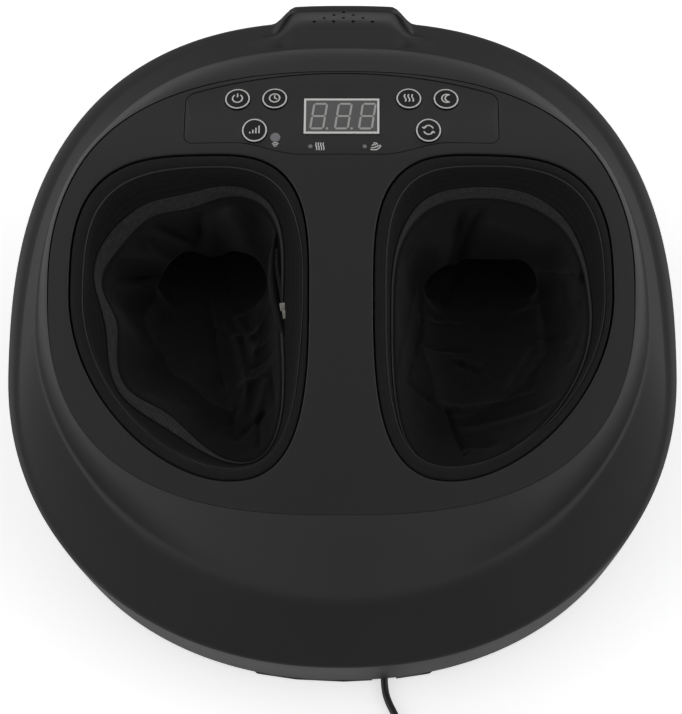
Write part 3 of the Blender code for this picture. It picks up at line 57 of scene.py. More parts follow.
bpy.ops.object.camera_add()
camera = bpy.context.object
camera.name = "photo_camera"
camera.location = VIEW_TARGET + TO_CAMERA * VIEW_DISTANCE
camera.rotation_euler = (VIEW_TILT, 0.0, 0.0)
camera.data.sensor_width = SENSOR_MM
camera.data.lens = LENS_MM
camera.data.shift_x = -MIDDLE_OFFSET / PICTURE_HEIGHT
bpy.context.scene.camera = camera

# Lead: 4.4 mm round two-core cable with a satin vinyl jacket, extruded black. It leaves a
# moulded strain relief under the near edge, lies on the floor and is wound into a coil.
CORD_RADIUS = 0.0022
CORD_EXIT = (0.0250, -0.1833, 0.0052)
LEAD_ROUTE = [CORD_EXIT, (0.0250, -0.1880, 0.0048), (0.0251, -0.1930, 0.0036),
              (0.0254, -0.1985, 0.0026), (0.0263, -0.2040, 0.0023), (0.0285, -0.2100, 0.0023),
              (0.0325, -0.2180, 0.0023), (0.0375, -0.2300, 0.0023), (0.0425, -0.2450, 0.0024),
              (0.0465, -0.2610, 0.0026), (0.0525, -0.2765, 0.0028), (0.0612, -0.2885, 0.0031)]
COIL_CENTRE = (0.0980, -0.2640)
COIL_INNER = 0.0150
COIL_PITCH = 0.0050
COIL_LAYER = 0.0051
COIL_LIFT = 0.0012
COIL_START = radians(240.0)
COIL_TURNS = 8 + 30 / 360
COIL_TAIL = 0.0400
COIL_STEPS = 40
LEAD_STEPS = 6
LEAD_IN_RADII = (4, 2)
CORD_ROUNDNESS = 5
# The gloss of a moulded polymer swings by a share, in patches of about 55 mm.
CLOUD_SCALE = 18.0
GLOSS_SWING = 0.1


def smooth_share(value):
    """Eases from 0 to 1 with level ends."""
    value = min(max(value, 0.0), 1.0)
    return value * value * (3 - 2 * value)


def eased(value, low, high):
    """Eases from 0 at one value to 1 at another."""
    return smooth_share((value - low) / (high - low))


def smooth_route(points, steps):
    """Points of a smooth curve through the given ones."""
    route = []
    padded = [points[0] * 2 - points[1]] + points + [points[-1] * 2 - points[-2]]
    for before, start, end, after in zip(padded, padded[1:], padded[2:], padded[3:]):
        for step in range(steps):
            t = step / steps
            route.append(0.5 * (2 * start + (end - before) * t
                                + (2 * before - 5 * start + 4 * end - after) * t ** 2
                                + (3 * start - before - 3 * end + after) * t ** 3))
    return route + [points[-1]]


def coil_points():
    """Two layers of turns, which spiral in, climb at the inner turn and spiral out."""
    count = round(COIL_TURNS * COIL_STEPS)
    points = []
    for step in range(count + 1):
        turn = COIL_TURNS * step / count
        past = turn - COIL_TURNS / 2
        reach = COIL_INNER + COIL_PITCH * abs(past)
        angle = COIL_START + 2 * pi * turn
        z = CORD_RADIUS + COIL_LIFT + COIL_LAYER * smooth_share(2 * past + 0.5)
        points.append(Vector((COIL_CENTRE[0] + reach * cos(angle),
                              COIL_CENTRE[1] + reach * sin(angle), z)))
    return points


def linear(code, gain=1.0):
    """Linear colour of an sRGB hex value, made brighter or darker by a gain."""
    parts = [int(code[i:i + 2], 16) / 255 for i in (1, 3, 5)]
    parts = [c / 12.92 if c <= 0.04045 else ((c + 0.055) / 1.055) ** 2.4 for c in parts]
    return tuple(c * gain for c in parts) + (1.0,)


def add_node(tree, kind, inputs=None, **settings):
    """Adds a shader node; inputs gives each socket a value or another node's output."""
    made = tree.nodes.new("ShaderNode" + kind)
    for name, value in settings.items():
        setattr(made, name, value)
    for socket, value in (inputs or {}).items():
        if isinstance(value, bpy.types.NodeSocket):
            tree.links.new(value, made.inputs[socket])
        else:
            made.inputs[socket].default_value = value
    return made


def start_material(name, **shader_values):
    """A node material whose shader sockets have the given values."""
    made = bpy.data.materials.new(name)
    made.use_nodes = True
    shader = made.node_tree.nodes["Principled BSDF"]
    for socket, value in shader_values.items():
        shader.inputs[socket.replace("_", " ")].default_value = value
    return made, made.node_tree, shader


def speckle(tree, place, scale, detail):
    """Noise at a place, as a share."""
    made = add_node(tree, "TexNoise", {"Vector": place, "Scale": scale, "Detail": detail})
    return made.outputs["Fac"]


def blend(tree, shader, share, first, second):
    """Gives a shader a colour between two."""
    tone = add_node(tree, "MixRGB", {"Fac": share, "Color1": first, "Color2": second})
    tree.links.new(tone.outputs["Color"], shader.inputs["Base Color"])


def vary_gloss(tree, shader, share, roughness, swing):
    """Gives a shader a roughness that swings to both sides of a value."""
    gloss = add_node(tree, "MapRange", {"Value": share, "To Min": roughness * (1 - swing),
                                        "To Max": roughness * (1 + swing)})
    tree.links.new(gloss.outputs["Result"], shader.inputs["Roughness"])


def emboss(tree, shader, height, depth_mm, strength=1.0):
    """Gives a shader fine bumps of a real depth."""
    bump = add_node(tree, "Bump", {"Height": height, "Distance": depth_mm / 1000,
                                   "Strength": strength})
    tree.links.new(bump.outputs["Normal"], shader.inputs["Normal"])


def moulded(name, colour, roughness, grain_mm, depth_mm, fleck=0.12, **shader_values):
    """Moulded polymer: the tool's eroded grain as fine bumps, with a slightly uneven gloss and
    tone. The grain's scale is set from its real width in millimetres."""
    made, tree, shader = start_material(name, **shader_values)
    place = add_node(tree, "TexCoord").outputs["Object"]
    grain = speckle(tree, place, 1000 / grain_mm, 3.0)
    blend(tree, shader, grain, linear(colour), linear(colour, 1 + 4 * fleck))
    vary_gloss(tree, shader, speckle(tree, place, CLOUD_SCALE, 2.0), roughness, GLOSS_SWING)
    emboss(tree, shader, grain, depth_mm)
    return made


def add_object(name, data):
    """New object with the given mesh or curve."""
    made = bpy.data.objects.new(name, data)
    bpy.context.scene.collection.objects.link(made)
    return made


def add_strokes(name, lines, radius, roundness):
    """Round strokes with closed ends along lines of points, as one curve object."""
    data = bpy.data.curves.new(name, "CURVE")
    data.dimensions = "3D"
    data.bevel_depth = radius
    data.bevel_resolution = roundness
    data.use_fill_caps = True
    for line in lines:
        spline = data.splines.new("POLY")
        spline.points.add(len(line) - 1)
        for slot, point in zip(spline.points, line):
            slot.co = (*point, 1.0)
    return add_object(name, data)


# Extruded vinyl: near-black, softly shiny, with faint drawing marks too fine to see apart.
cord_vinyl = moulded("extruded_black_vinyl", "#161617", 0.42, 0.6, 0.01, IOR=1.52)

coil = coil_points()
lead_in = (coil[0] - coil[1]).normalized()
route = [Vector(point) for point in LEAD_ROUTE]
route += [coil[0] + lead_in * CORD_RADIUS * radii for radii in LEAD_IN_RADII]
path = smooth_route(route, LEAD_STEPS) + coil + [coil[-1] + Vector((COIL_TAIL, 0.0, 0.0))]
lead = add_strokes("power_lead", [path], CORD_RADIUS, CORD_ROUNDNESS)
lead.data.materials.append(cord_vinyl)
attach(lead, "housing")
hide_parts("cord_lead", "cord_coil")


def dress(material, *names):
    """Gives carried-over CAD nodes a material."""
    for name in names:
        nodes[name].data.materials.clear()
        nodes[name].data.materials.append(material)


# The strain relief and the coil's tie are moulded of the same vinyl as the jacket.
dress(cord_vinyl, "cord_gland", "coil_tie")

# Outer shell: one injection moulding of black ABS with a fine matt grain, 2.4 mm thick. Its
# straight wall rises to a crisp edge, the skirt falls to a valley, and the pod's wall climbs
# to the seam. A bump on the far side is drilled with ten vent holes.
HALF_WIDTH = 0.200
NEAR_Y = -0.200
BODY_FAR_Y = 0.1826
EDGE_NEAR_Z = 0.064
EDGE_TILT = radians(13.0)
ROLL_NEAR = 0.0028
ROLL_FAR = 0.0085
ROLL_DROP_SHARE = 0.55
ROLL_STEPS = 6
# From here to there round the edge, by the sine of the direction, the near roll turns to the far.
ROLL_TURNS = (-0.75, 0.35)
SHELL_WALL = 0.0024
SHELL_FOOT_Z = 0.008
SHELL_FOOT_INSET = 0.004
WALL_LEAN_POWER = 1.336
WALL_ROW_SHARES = (0.0, 0.02, 0.15, 0.3, 0.45, 0.6, 0.75, 0.88)
SKIRT_BEND_SHARES = (0.35, 0.55)
SKIRT_BEND_STEPS = 5
VALLEY_RISE = 0.006
VALLEY_REACH = (0.0028, 0.0090)
# The valley lies further out at the sides, by the cosine of the direction.
VALLEY_OUT = 0.0012
VALLEY_OUT_TURNS = (0.375, 1.0)
# Shape of the pod's wall at the sides, the far side and the near side, and by the sine of the
# direction where the far and the near shape begin and are full.
POD_SHOULDER_SHARES = (0.47, 0.50, 0.33)
POD_SHOULDER_DROP_SHARES = (0.18, 0.0, 0.28)
POD_FOOT_SHARES = (0.34, 0.04, 0.33)
POD_FOOT_RISE_SHARES = (0.43, 0.50, 0.36)
POD_FAR = (0.55, 0.90)
POD_NEAR = (0.45, 0.95)
POD_START_SHARE = 0.09
POD_ROWS = 16
FILLET_ROWS = 5
BUMP_OUT = 0.0190
BUMP_FLAT_HALF = 0.0300
BUMP_ROOT_HALF = 0.0435
BUMP_DROP = 0.015
BUMP_CROWN = 0.0071
CROWN_HALVES = (0.066, 0.018)
BUMP_ROLL = 0.0042
BUMP_FADE_Z = (0.030, 0.115)
BUMP_TURN = 0.45
COLUMNS = 240
VENT_RADIUS = 0.00105
VENT_PITCH = (0.0119, 0.0054)
VENT_ROWS = 4
VENT_APEX_SETBACK = 0.0030
VENT_DEPTH = 0.014
PLATEAU_TILT = radians(14.0)
PLATEAU_NEAR = (-0.126, 0.128)
RIDGE_START_Y = 0.073
RIDGE_RADIUS = 0.094
CROWN_RADIUS = 2.0
SEAM_GAP = 0.0005
SEAM_ROLL = 0.0002
SEAM_FADE_Y = (-0.050, 0.015)
SEAM_LEAST_SHARE = 0.03
SEAM_WALL_SHARES = (0.85, 0.65, 0.4, 0.15, 0.1, 0.1, 0.1, 0.1)
WELD_DISTANCE = 1e-7
LIP_TURNS = (radians(30.0), radians(60.0), radians(90.0))

Outline = namedtuple("Outline", "x y inner outer near far lean powers")
EDGE = Outline(0.0, -0.0283, HALF_WIDTH, HALF_WIDTH, 0.1717, 0.2109, 0.0, (2.52, 2.52, 2.12, 2.12))
VALLEY = Outline(0.0, -0.005, 0.181, 0.181, 0.161, 0.165, 0.0, (2.37, 2.37, 1.87, 1.87))
SEAM = Outline(0.0, 0.005, 0.1698, 0.1698, 0.131, 0.1292, 0.0, (2.3, 2.3, 2.6, 2.6))


def outline_xy(outline, angle, grow=0.0, mirror=1):
    """Point of a four-part superellipse outline in the direction of an angle."""
    over = cos(angle) >= 0
    beyond = sin(angle) >= 0
    half_x = (outline.outer if over else outline.inner) + grow
    half_y = (outline.far if beyond else outline.near) + grow
    power = outline.powers[(0 if over else 1) if beyond else (3 if over else 2)]
    reach = ((abs(cos(angle)) / half_x) ** power + (abs(sin(angle)) / half_y) ** power)
    reach = reach ** (-1 / power)
    x = outline.x + reach * cos(angle)
    y = outline.y + reach * sin(angle)
    if not beyond:
        x -= outline.lean * ((outline.y - y) / half_y) ** 2
    return mirror * x, y


def top_z(x, y):
    """Height of the plateau and of the ridge that it rolls over."""
    rise = tan(PLATEAU_TILT)
    crown = x * x / (2 * CROWN_RADIUS)
    if y <= RIDGE_START_Y:
        return PLATEAU_NEAR[1] + (y - PLATEAU_NEAR[0]) * rise - crown
    start_z = PLATEAU_NEAR[1] + (RIDGE_START_Y - PLATEAU_NEAR[0]) * rise
    reach = y - RIDGE_START_Y - RIDGE_RADIUS * sin(PLATEAU_TILT)
    drop = sqrt(max(RIDGE_RADIUS ** 2 - reach * reach, 0.0))
    return start_z - RIDGE_RADIUS * cos(PLATEAU_TILT) + drop - crown


def top_normal(x, y, step=0.0003):
    """Outward direction of the plateau at a place."""
    along_x = (top_z(x + step, y) - top_z(x - step, y)) / (2 * step)
    along_y = (top_z(x, y + step) - top_z(x, y - step)) / (2 * step)
    return Vector((-along_x, -along_y, 1.0)).normalized()


def edge_z(y):
    """Height of the crisp edge, which lies in a tilted plane."""
    return EDGE_NEAR_Z + (y - NEAR_Y) * tan(EDGE_TILT)


def bump_share(x, y):
    """How much of the bump stands out at a place of the back."""
    if y < EDGE.y:
        return 0.0
    return eased(abs(x), BUMP_ROOT_HALF, BUMP_FLAT_HALF)


def edge_point(angle, inset, drop, fade=1.0):
    """Point of the edge, with the bump, moved in and down."""
    x, y = outline_xy(EDGE, angle, -inset)
    share = bump_share(x, y) * fade
    low = edge_z(min(y, BODY_FAR_Y)) - BUMP_DROP * share
    return Vector((x, y + BUMP_OUT * share, low - drop))


def seam_share(angle):
    """How open the seam stands: open at the far side and the sides, shut at the near side."""
    return eased(outline_xy(SEAM, angle)[1], *SEAM_FADE_Y) + SEAM_LEAST_SHARE


def pod_wall(angle):
    """Valley point, Bezier handles and seam point of the pod's wall in one direction."""
    grow = VALLEY_OUT * eased(abs(cos(angle)), *VALLEY_OUT_TURNS)
    foot_x, foot_y = outline_xy(VALLEY, angle, grow)
    foot = Vector((foot_x, foot_y, edge_z(foot_y) + VALLEY_RISE))
    seam_x, seam_y = outline_xy(SEAM, angle, seam_share(angle) * (SEAM_GAP / 2 + SEAM_ROLL))
    seam = Vector((seam_x, seam_y, top_z(seam_x, seam_y)))
    run = Vector((foot.x - seam.x, foot.y - seam.y, 0.0))
    slope = top_normal(seam.x, seam.y)
    fall = -(slope.x * run.x + slope.y * run.y) / slope.z
    far = eased(sin(angle), *POD_FAR)
    near = eased(-sin(angle), *POD_NEAR)
    lean, drop, foot_lean, foot_rise = (side + (back - side) * far + (front - side) * near
                                        for side, back, front in (
        POD_SHOULDER_SHARES, POD_SHOULDER_DROP_SHARES, POD_FOOT_SHARES, POD_FOOT_RISE_SHARES))
    shoulder = seam + (run + Vector((0.0, 0.0, fall))) * lean
    shoulder.z -= (seam.z - foot.z) * drop
    rise = Vector((0.0, 0.0, (seam.z - foot.z) * foot_rise))
    return foot, foot - run * foot_lean + rise, shoulder, seam


def bezier(corners, share):
    """Point of a Bezier curve of any order."""
    while len(corners) > 1:
        corners = [low.lerp(high, share) for low, high in zip(corners, corners[1:])]
    return corners[0]


def shell_column(angle):
    """Outer points of the shell in one direction, from its foot to the seam."""
    bump = bump_share(*outline_xy(EDGE, angle))
    roll = ROLL_NEAR + (ROLL_FAR - ROLL_NEAR) * eased(sin(angle), *ROLL_TURNS)
    roll += (BUMP_ROLL - roll) * bump
    drop = roll * ROLL_DROP_SHARE
    side = edge_point(angle, 0.0, drop)
    column = []
    for share in WALL_ROW_SHARES:
        z = SHELL_FOOT_Z + (side.z - SHELL_FOOT_Z) * share
        inset = SHELL_FOOT_INSET * (1 - share) ** WALL_LEAN_POWER
        point = edge_point(angle, inset, 0.0, eased(z, *BUMP_FADE_Z))
        column.append(Vector((point.x, point.y, z)))
    for step in range(ROLL_STEPS + 1):
        turn = pi / 2 * step / ROLL_STEPS
        column.append(edge_point(angle, roll * (1 - cos(turn)), drop * (1 - sin(turn))))
    top = column[-1]
    foot, root, shoulder, seam = pod_wall(angle)
    out = Vector((top.x - foot.x, top.y - foot.y, 0.0))
    near = eased(-sin(angle), *POD_NEAR)
    reach = VALLEY_REACH[0] + (VALLEY_REACH[1] - VALLEY_REACH[0]) * near
    start = foot.lerp(top, min(reach / out.length, 0.5))
    crest = top.lerp(start, 0.5)
    if top.y > EDGE.y:
        crest.z += BUMP_CROWN * eased(abs(top.x), *CROWN_HALVES)
    outer_bend = crest.lerp(top, SKIRT_BEND_SHARES[0])
    inner_bend = crest.lerp(start, SKIRT_BEND_SHARES[1])
    column += [top.lerp(outer_bend, 1 / 3), top.lerp(outer_bend, 2 / 3)]
    for step in range(SKIRT_BEND_STEPS + 1):
        column.append(bezier((outer_bend, crest, inner_bend), step / SKIRT_BEND_STEPS))
    column.append(inner_bend.lerp(start, 0.5))
    climb = bezier((foot, root, shoulder, seam), POD_START_SHARE)
    for step in range(FILLET_ROWS):
        column.append(bezier((start, foot, climb), step / FILLET_ROWS))
    for step in range(POD_ROWS + 1):
        share = POD_START_SHARE + (1 - POD_START_SHARE) * step / POD_ROWS
        column.append(bezier((foot, root, shoulder, seam), share))
    inward = Vector((-out.x, -out.y, 0.0)).normalized()
    lip = SEAM_ROLL * seam_share(angle)
    for turn in LIP_TURNS:
        column.append(seam + inward * lip * sin(turn) - Vector((0.0, 0.0, lip * (1 - cos(turn)))))
    column.append(column[-1] - Vector((0.0, 0.0, SHELL_WALL)))
    return column


def shell_angles():
    """Directions of the columns, twice as close over the bump."""
    step = 2 * pi / COLUMNS
    angles = [step * count for count in range(COLUMNS)]
    halfway = [angle + step / 2 for angle in angles]
    angles += [angle for angle in halfway if abs(angle - pi / 2) < BUMP_TURN]
    return sorted(angles)


def pick(piece):
    """Makes a piece the active and only selected one."""
    bpy.ops.object.select_all(action="DESELECT")
    bpy.context.view_layer.objects.active = piece
    piece.select_set(True)


def edit_all(*steps):
    """Runs mesh operators in turn on the active piece, with all of it selected at first."""
    bpy.ops.object.mode_set(mode="EDIT")
    bpy.ops.mesh.select_all(action="SELECT")
    for operator, settings in steps:
        operator(**settings)
    bpy.ops.object.mode_set(mode="OBJECT")


def wrapped(name, rings, last_shares=()):
    """A grid, shaped into closed rings of points and welded where it meets itself. The last
    rings may have a share of the wall's thickness each."""
    bpy.ops.object.select_all(action="DESELECT")
    bpy.ops.mesh.primitive_grid_add(x_subdivisions=len(rings[0]), y_subdivisions=len(rings) - 1)
    made = bpy.context.object
    made.name = name
    made.data.name = name
    points = [point for ring in rings for point in ring + ring[:1]]
    made.data.vertices.foreach_set("co", np.array([tuple(p) for p in points], np.float32).ravel())
    shares = (1.0,) * (len(rings) - len(last_shares)) + tuple(last_shares)
    group = made.vertex_groups.new(name="wall")
    width = len(rings[0]) + 1
    for row, share in enumerate(shares):
        group.add(range(row * width, (row + 1) * width), share, "REPLACE")
    edit_all((bpy.ops.mesh.remove_doubles, {"threshold": WELD_DISTANCE}))
    return made


def apply_all(piece):
    """Applies every modifier of a piece, in order."""
    pick(piece)
    for modifier in list(piece.modifiers):
        bpy.ops.object.modifier_apply(modifier=modifier.name)


def thicken(piece, thickness, offset=-1.0, group=""):
    """Gives an open skin its wall, thinner where the group says so."""
    wall = piece.modifiers.new("wall", "SOLIDIFY")
    wall.thickness = thickness
    wall.offset = offset
    wall.vertex_group = group
    apply_all(piece)


def cut(piece, cutter, operation="DIFFERENCE"):
    """Cuts a piece with another solid, which is then removed."""
    step = piece.modifiers.new("cut", "BOOLEAN")
    step.operation = operation
    step.object = cutter
    apply_all(piece)
    bpy.data.objects.remove(cutter)


def smooth(piece, degrees=35.0):
    """Shades round stretches smooth and keeps creases; flat faces win over their rolled rims."""
    pick(piece)
    bpy.ops.object.shade_smooth_by_angle(angle=radians(degrees))
    if degrees < 90.0:
        weigh = piece.modifiers.new("weigh", "WEIGHTED_NORMAL")
        weigh.keep_sharp = True
        apply_all(piece)


def keep(piece, material, body, slot, *stands_for):
    """Finishes a piece: material, body and the CAD nodes that it stands for. Its slot is not used.
    """
    piece.data.materials.clear()
    piece.data.materials.append(material)
    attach(piece, body)
    if stands_for:
        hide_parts(*stands_for)
    return piece


# Black ABS with an eroded matt grain: even, soft highlights and no mirror images.
shell_plastic = moulded("matt_grained_black_abs", "#171616", 0.50, 0.5, 0.02, IOR=1.53)

columns = [shell_column(angle) for angle in shell_angles()]
shell = wrapped("shell_moulding", [list(ring) for ring in zip(*columns)], SEAM_WALL_SHARES)
thicken(shell, SHELL_WALL, group="wall")
back = shell_column(pi / 2)[len(WALL_ROW_SHARES) + ROLL_STEPS:][:SKIRT_BEND_STEPS + 3]
along = np.cumsum([0.0] + [(high - low).length for low, high in zip(back, back[1:])])
for row in range(VENT_ROWS):
    reach = VENT_APEX_SETBACK + row * VENT_PITCH[1]
    y = float(np.interp(reach, along, [point.y for point in back]))
    z = float(np.interp(reach, along, [point.z for point in back]))
    for count in range(row + 1):
        x = (count - row / 2) * VENT_PITCH[0]
        bpy.ops.mesh.primitive_cylinder_add(vertices=16, radius=VENT_RADIUS, depth=VENT_DEPTH,
                                            location=(x, y, z))
        cut(shell, bpy.context.object)
smooth(shell)
keep(shell, shell_plastic, "housing", "shell_plastic", "outer_shell")

# Top cover: a second ABS moulding let into the shell, with the same grain. Clips on its
# underside hold it; the two foot openings and the panel's recess go through it, and the seam
# round it stands open at the far side and the sides.
COVER_WALL = 0.0025
COVER_GRID = 0.0030
WELL_GAP = 0.0003
WELL_LIP = 0.0008
PANEL_GAP = 0.00025
PANEL_LIP = 0.0003
OUTLINE_STEPS = 260
WELL = Outline(0.080, 0.0, 0.0613, 0.0775, 0.107, 0.077, 0.017, (3.1, 3.2, 2.25, 1.93))
PANEL_HALF_WIDTH = 0.0917
PANEL_FAR = (0.1327, 0.0167)
PANEL_NEAR = (0.0765, 0.0074)
PANEL_NEAR_SHARES = (0.26, 0.69)
PANEL_CORNER = 0.0045
PANEL_STEPS = 44
PANEL_CORNER_STEPS = 8
# How far the plates' inner points keep off their border and their holes, by the points' spacing.
CLEAR_SHARES = (0.6, 0.4)


def panel_edge_y(x):
    """Near and far edges of the control panel at a place across it."""
    across = abs(x) / PANEL_HALF_WIDTH
    near = PANEL_NEAR[0] + PANEL_NEAR[1] * eased(across, *PANEL_NEAR_SHARES)
    far = PANEL_FAR[0] - PANEL_FAR[1] * across ** 2
    into = max(abs(x) - (PANEL_HALF_WIDTH - PANEL_CORNER), 0.0)
    turn = PANEL_CORNER - sqrt(max(PANEL_CORNER ** 2 - into * into, 0.0))
    return near + turn, far - turn


def panel_loop():
    """Outline of the control panel, anticlockwise, closer where its corners turn."""
    flat = PANEL_HALF_WIDTH - PANEL_CORNER
    half = [flat * step / PANEL_STEPS for step in range(PANEL_STEPS)]
    half += [flat + PANEL_CORNER * sin(pi / 2 * step / PANEL_CORNER_STEPS)
             for step in range(PANEL_CORNER_STEPS + 1)]
    places = [-x for x in half[:0:-1]] + half
    near = [(x, panel_edge_y(x)[0]) for x in places]
    far = [(x, panel_edge_y(x)[1]) for x in places]
    return np.array(near + far[::-1])


def well_loop(mirror):
    """Outline of a foot opening, anticlockwise."""
    loop = [outline_xy(WELL, 2 * pi * step / OUTLINE_STEPS, 0.0, mirror)
            for step in range(OUTLINE_STEPS)]
    return np.array(loop[::mirror])


def ring_loop(x, y, radius, count):
    """Round loop, anticlockwise."""
    turns = [2 * pi * step / count for step in range(count)]
    return np.array([(x + radius * cos(turn), y + radius * sin(turn)) for turn in turns])


def moved(loop, distance):
    """An anticlockwise loop of points moved inwards; the distance may differ by point."""
    along = np.roll(loop, -1, axis=0) - np.roll(loop, 1, axis=0)
    along /= np.linalg.norm(along, axis=1)[:, None]
    return loop + np.stack((-along[:, 1], along[:, 0]), axis=1) * np.reshape(distance, (-1, 1))


def within(places, loop):
    """Which places lie inside a loop."""
    inside = np.zeros(len(places), bool)
    for (x0, y0), (x1, y1) in zip(loop, np.roll(loop, -1, axis=0)):
        if y0 != y1:
            crossed = (y0 > places[:, 1]) != (y1 > places[:, 1])
            inside ^= crossed & (places[:, 0] < (x1 - x0) * (places[:, 1] - y0) / (y1 - y0) + x0)
    return inside


def from_faces(name, work):
    """Piece from worked faces, which are turned outwards."""
    bmesh.ops.recalc_face_normals(work, faces=work.faces[:])
    data = bpy.data.meshes.new(name)
    work.to_mesh(data)
    work.free()
    return add_object(name, data)


def plate(name, border, holes, spacing, height, thickness, lips, extra=()):
    """Closed plate over a height function, with a border, holes and rolled rims. The border and
    each hole come as anticlockwise loops; lips gives the radius of each rim."""
    loops = [border] + list(holes)
    signs = [1.0] + [-1.0] * len(holes)
    flats = [moved(loop, sign * np.asarray(lip)) for loop, sign, lip in zip(loops, signs, lips)]
    low, high = border.min(axis=0), border.max(axis=0)
    grid = np.stack(np.meshgrid(np.arange(low[0], high[0], spacing),
                                np.arange(low[1], high[1], spacing)), axis=-1).reshape(-1, 2)
    grid = np.concatenate([grid] + [np.asarray(ring) for ring in extra])
    kept = within(grid, moved(flats[0], spacing * CLEAR_SHARES[0]))
    for flat in flats[1:]:
        kept &= ~within(grid, moved(flat, -spacing * CLEAR_SHARES[1]))
    places = np.concatenate(flats + [grid[kept]])
    edges = []
    start = 0
    for loop in loops:
        edges += [(start + i, start + (i + 1) % len(loop)) for i in range(len(loop))]
        start += len(loop)
    net = geometry.delaunay_2d_cdt([Vector(place) for place in places], edges, [], 0,
                                   WELD_DISTANCE)
    spots = np.array([tuple(spot) for spot in net[0]])
    index_of = {source: index for index, sources in enumerate(net[3]) for source in sources}
    faces = np.array([face for face in net[2] if len(face) == 3])
    middles = spots[faces].mean(axis=1)
    kept = within(middles, flats[0])
    for flat in flats[1:]:
        kept &= ~within(middles, flat)
    work = bmesh.new()
    tops = [work.verts.new((x, y, height(x, y))) for x, y in spots]
    lows = [work.verts.new((x, y, height(x, y) - thickness)) for x, y in spots]
    for a, b, c in faces[kept]:
        work.faces.new((tops[a], tops[b], tops[c]))
        work.faces.new((lows[c], lows[b], lows[a]))
    start = 0
    for loop, flat, lip in zip(loops, flats, lips):
        lip = np.broadcast_to(np.asarray(lip, float), (len(loop),))
        count = len(loop)
        rows = [[tops[index_of[start + i]] for i in range(count)]]
        for turn in LIP_TURNS:
            ring = flat + (loop - flat) * sin(turn)
            rows.append([work.verts.new((x, y, height(x, y) - fall * (1 - cos(turn))))
                         for (x, y), fall in zip(ring, lip)])
        rows.append([work.verts.new((x, y, height(x, y) - thickness)) for x, y in loop])
        rows.append([lows[index_of[start + i]] for i in range(count)])
        for upper, lower in zip(rows, rows[1:]):
            for i in range(count):
                after = (i + 1) % count
                work.faces.new((upper[i], lower[i], lower[after], upper[after]))
        start += count
    for vert in [vert for vert in work.verts if not vert.link_faces]:
        work.verts.remove(vert)
    return from_faces(name, work)


angles = shell_angles()
opening = np.array([seam_share(angle) for angle in angles])
seam_loop = np.array([outline_xy(SEAM, angle, -share * SEAM_GAP / 2)
                      for angle, share in zip(angles, opening)])
wells = [moved(well_loop(mirror), -WELL_GAP) for mirror in (-1, 1)]
cover = plate("cover_moulding", seam_loop, wells + [moved(panel_loop(), -PANEL_GAP)], COVER_GRID,
              top_z, COVER_WALL, [opening * SEAM_ROLL, WELL_LIP, WELL_LIP, PANEL_LIP])
smooth(cover)
keep(cover, shell_plastic, "housing", "shell_plastic", "top_cover")

# Control panel: a thin black insert with a finer grain than the cover, stuck into its recess.
# The skin stands up softly round each button and is open for the display and the lamps.
PANEL_WALL = 0.0025
PANEL_SINK = 0.0004
PANEL_GRID = 0.0030
BUTTON_RADIUS = 0.0075
BUTTON_GAP = 0.0002
RIM_RISE = 0.00030
RIM_RADII = (0.0078, 0.0083, 0.0088, 0.0094, 0.0102, 0.0112)
RIM_SHARES = (1.0, 0.98, 0.8, 0.45, 0.12, 0.0)
HOLE_LIP = 0.0001
HOLE_STEPS = 64
LENS_GAP = 0.0001
LENS_HOLE_STEPS = 24
DISPLAY_SIZE = (0.0440, 0.0235)
DISPLAY_GAP = 0.0003
DISPLAY_Y = 0.1003
BUTTONS = {
    "power": (-0.0611, 0.1122),
    "timer": (-0.0393, 0.1122),
    "heating": (0.0393, 0.1122),
    "relax": (0.0611, 0.1122),
    "intensity": (-0.0506, 0.0909),
    "mode": (0.0506, 0.0909),
}
LENSES = {
    "receiver_window": (-0.0385, 0.0867, 0.0029),
    "heat_lamp_lens": (-0.0180, 0.0811, 0.0012),
    "air_lamp_lens": (0.0135, 0.0811, 0.0012),
}


def panel_z(x, y):
    """Height of the panel's skin, raised softly round each button."""
    rise = 0.0
    for place in BUTTONS.values():
        away = hypot(x - place[0], y - place[1])
        rise += RIM_RISE * float(np.interp(away, RIM_RADII, RIM_SHARES))
    return top_z(x, y) - PANEL_SINK + rise


def box_loop(x, y, width, depth, count=10):
    """Rectangular loop, anticlockwise."""
    corners = [(x - width / 2, y - depth / 2), (x + width / 2, y - depth / 2),
               (x + width / 2, y + depth / 2), (x - width / 2, y + depth / 2)]
    loop = []
    for start, end in zip(corners, corners[1:] + corners[:1]):
        loop += [(start[0] + (end[0] - start[0]) * step / count,
                  start[1] + (end[1] - start[1]) * step / count) for step in range(count)]
    return np.array(loop)


# A smoother, slightly darker moulded film: its reflections are a little tighter.
panel_plastic = moulded("satin_black_panel_film", "#171717", 0.42, 0.35, 0.008, IOR=1.53)

holes = [ring_loop(x, y, BUTTON_RADIUS + BUTTON_GAP, HOLE_STEPS) for x, y in BUTTONS.values()]
holes += [ring_loop(x, y, radius + LENS_GAP, LENS_HOLE_STEPS) for x, y, radius in LENSES.values()]
rise = abs(top_normal(0.0, DISPLAY_Y).z)
holes.append(box_loop(0.0, DISPLAY_Y, DISPLAY_SIZE[0] + DISPLAY_GAP,
                      DISPLAY_SIZE[1] * rise + DISPLAY_GAP))
rims = [ring_loop(x, y, radius, HOLE_STEPS) for x, y in BUTTONS.values() for radius in RIM_RADII]
panel = plate("panel_skin", panel_loop(), holes, PANEL_GRID, panel_z, PANEL_WALL,
              [PANEL_LIP] + [HOLE_LIP] * len(holes), rims)
smooth(panel)
keep(panel, panel_plastic, "housing", "panel_plastic", "control_panel")

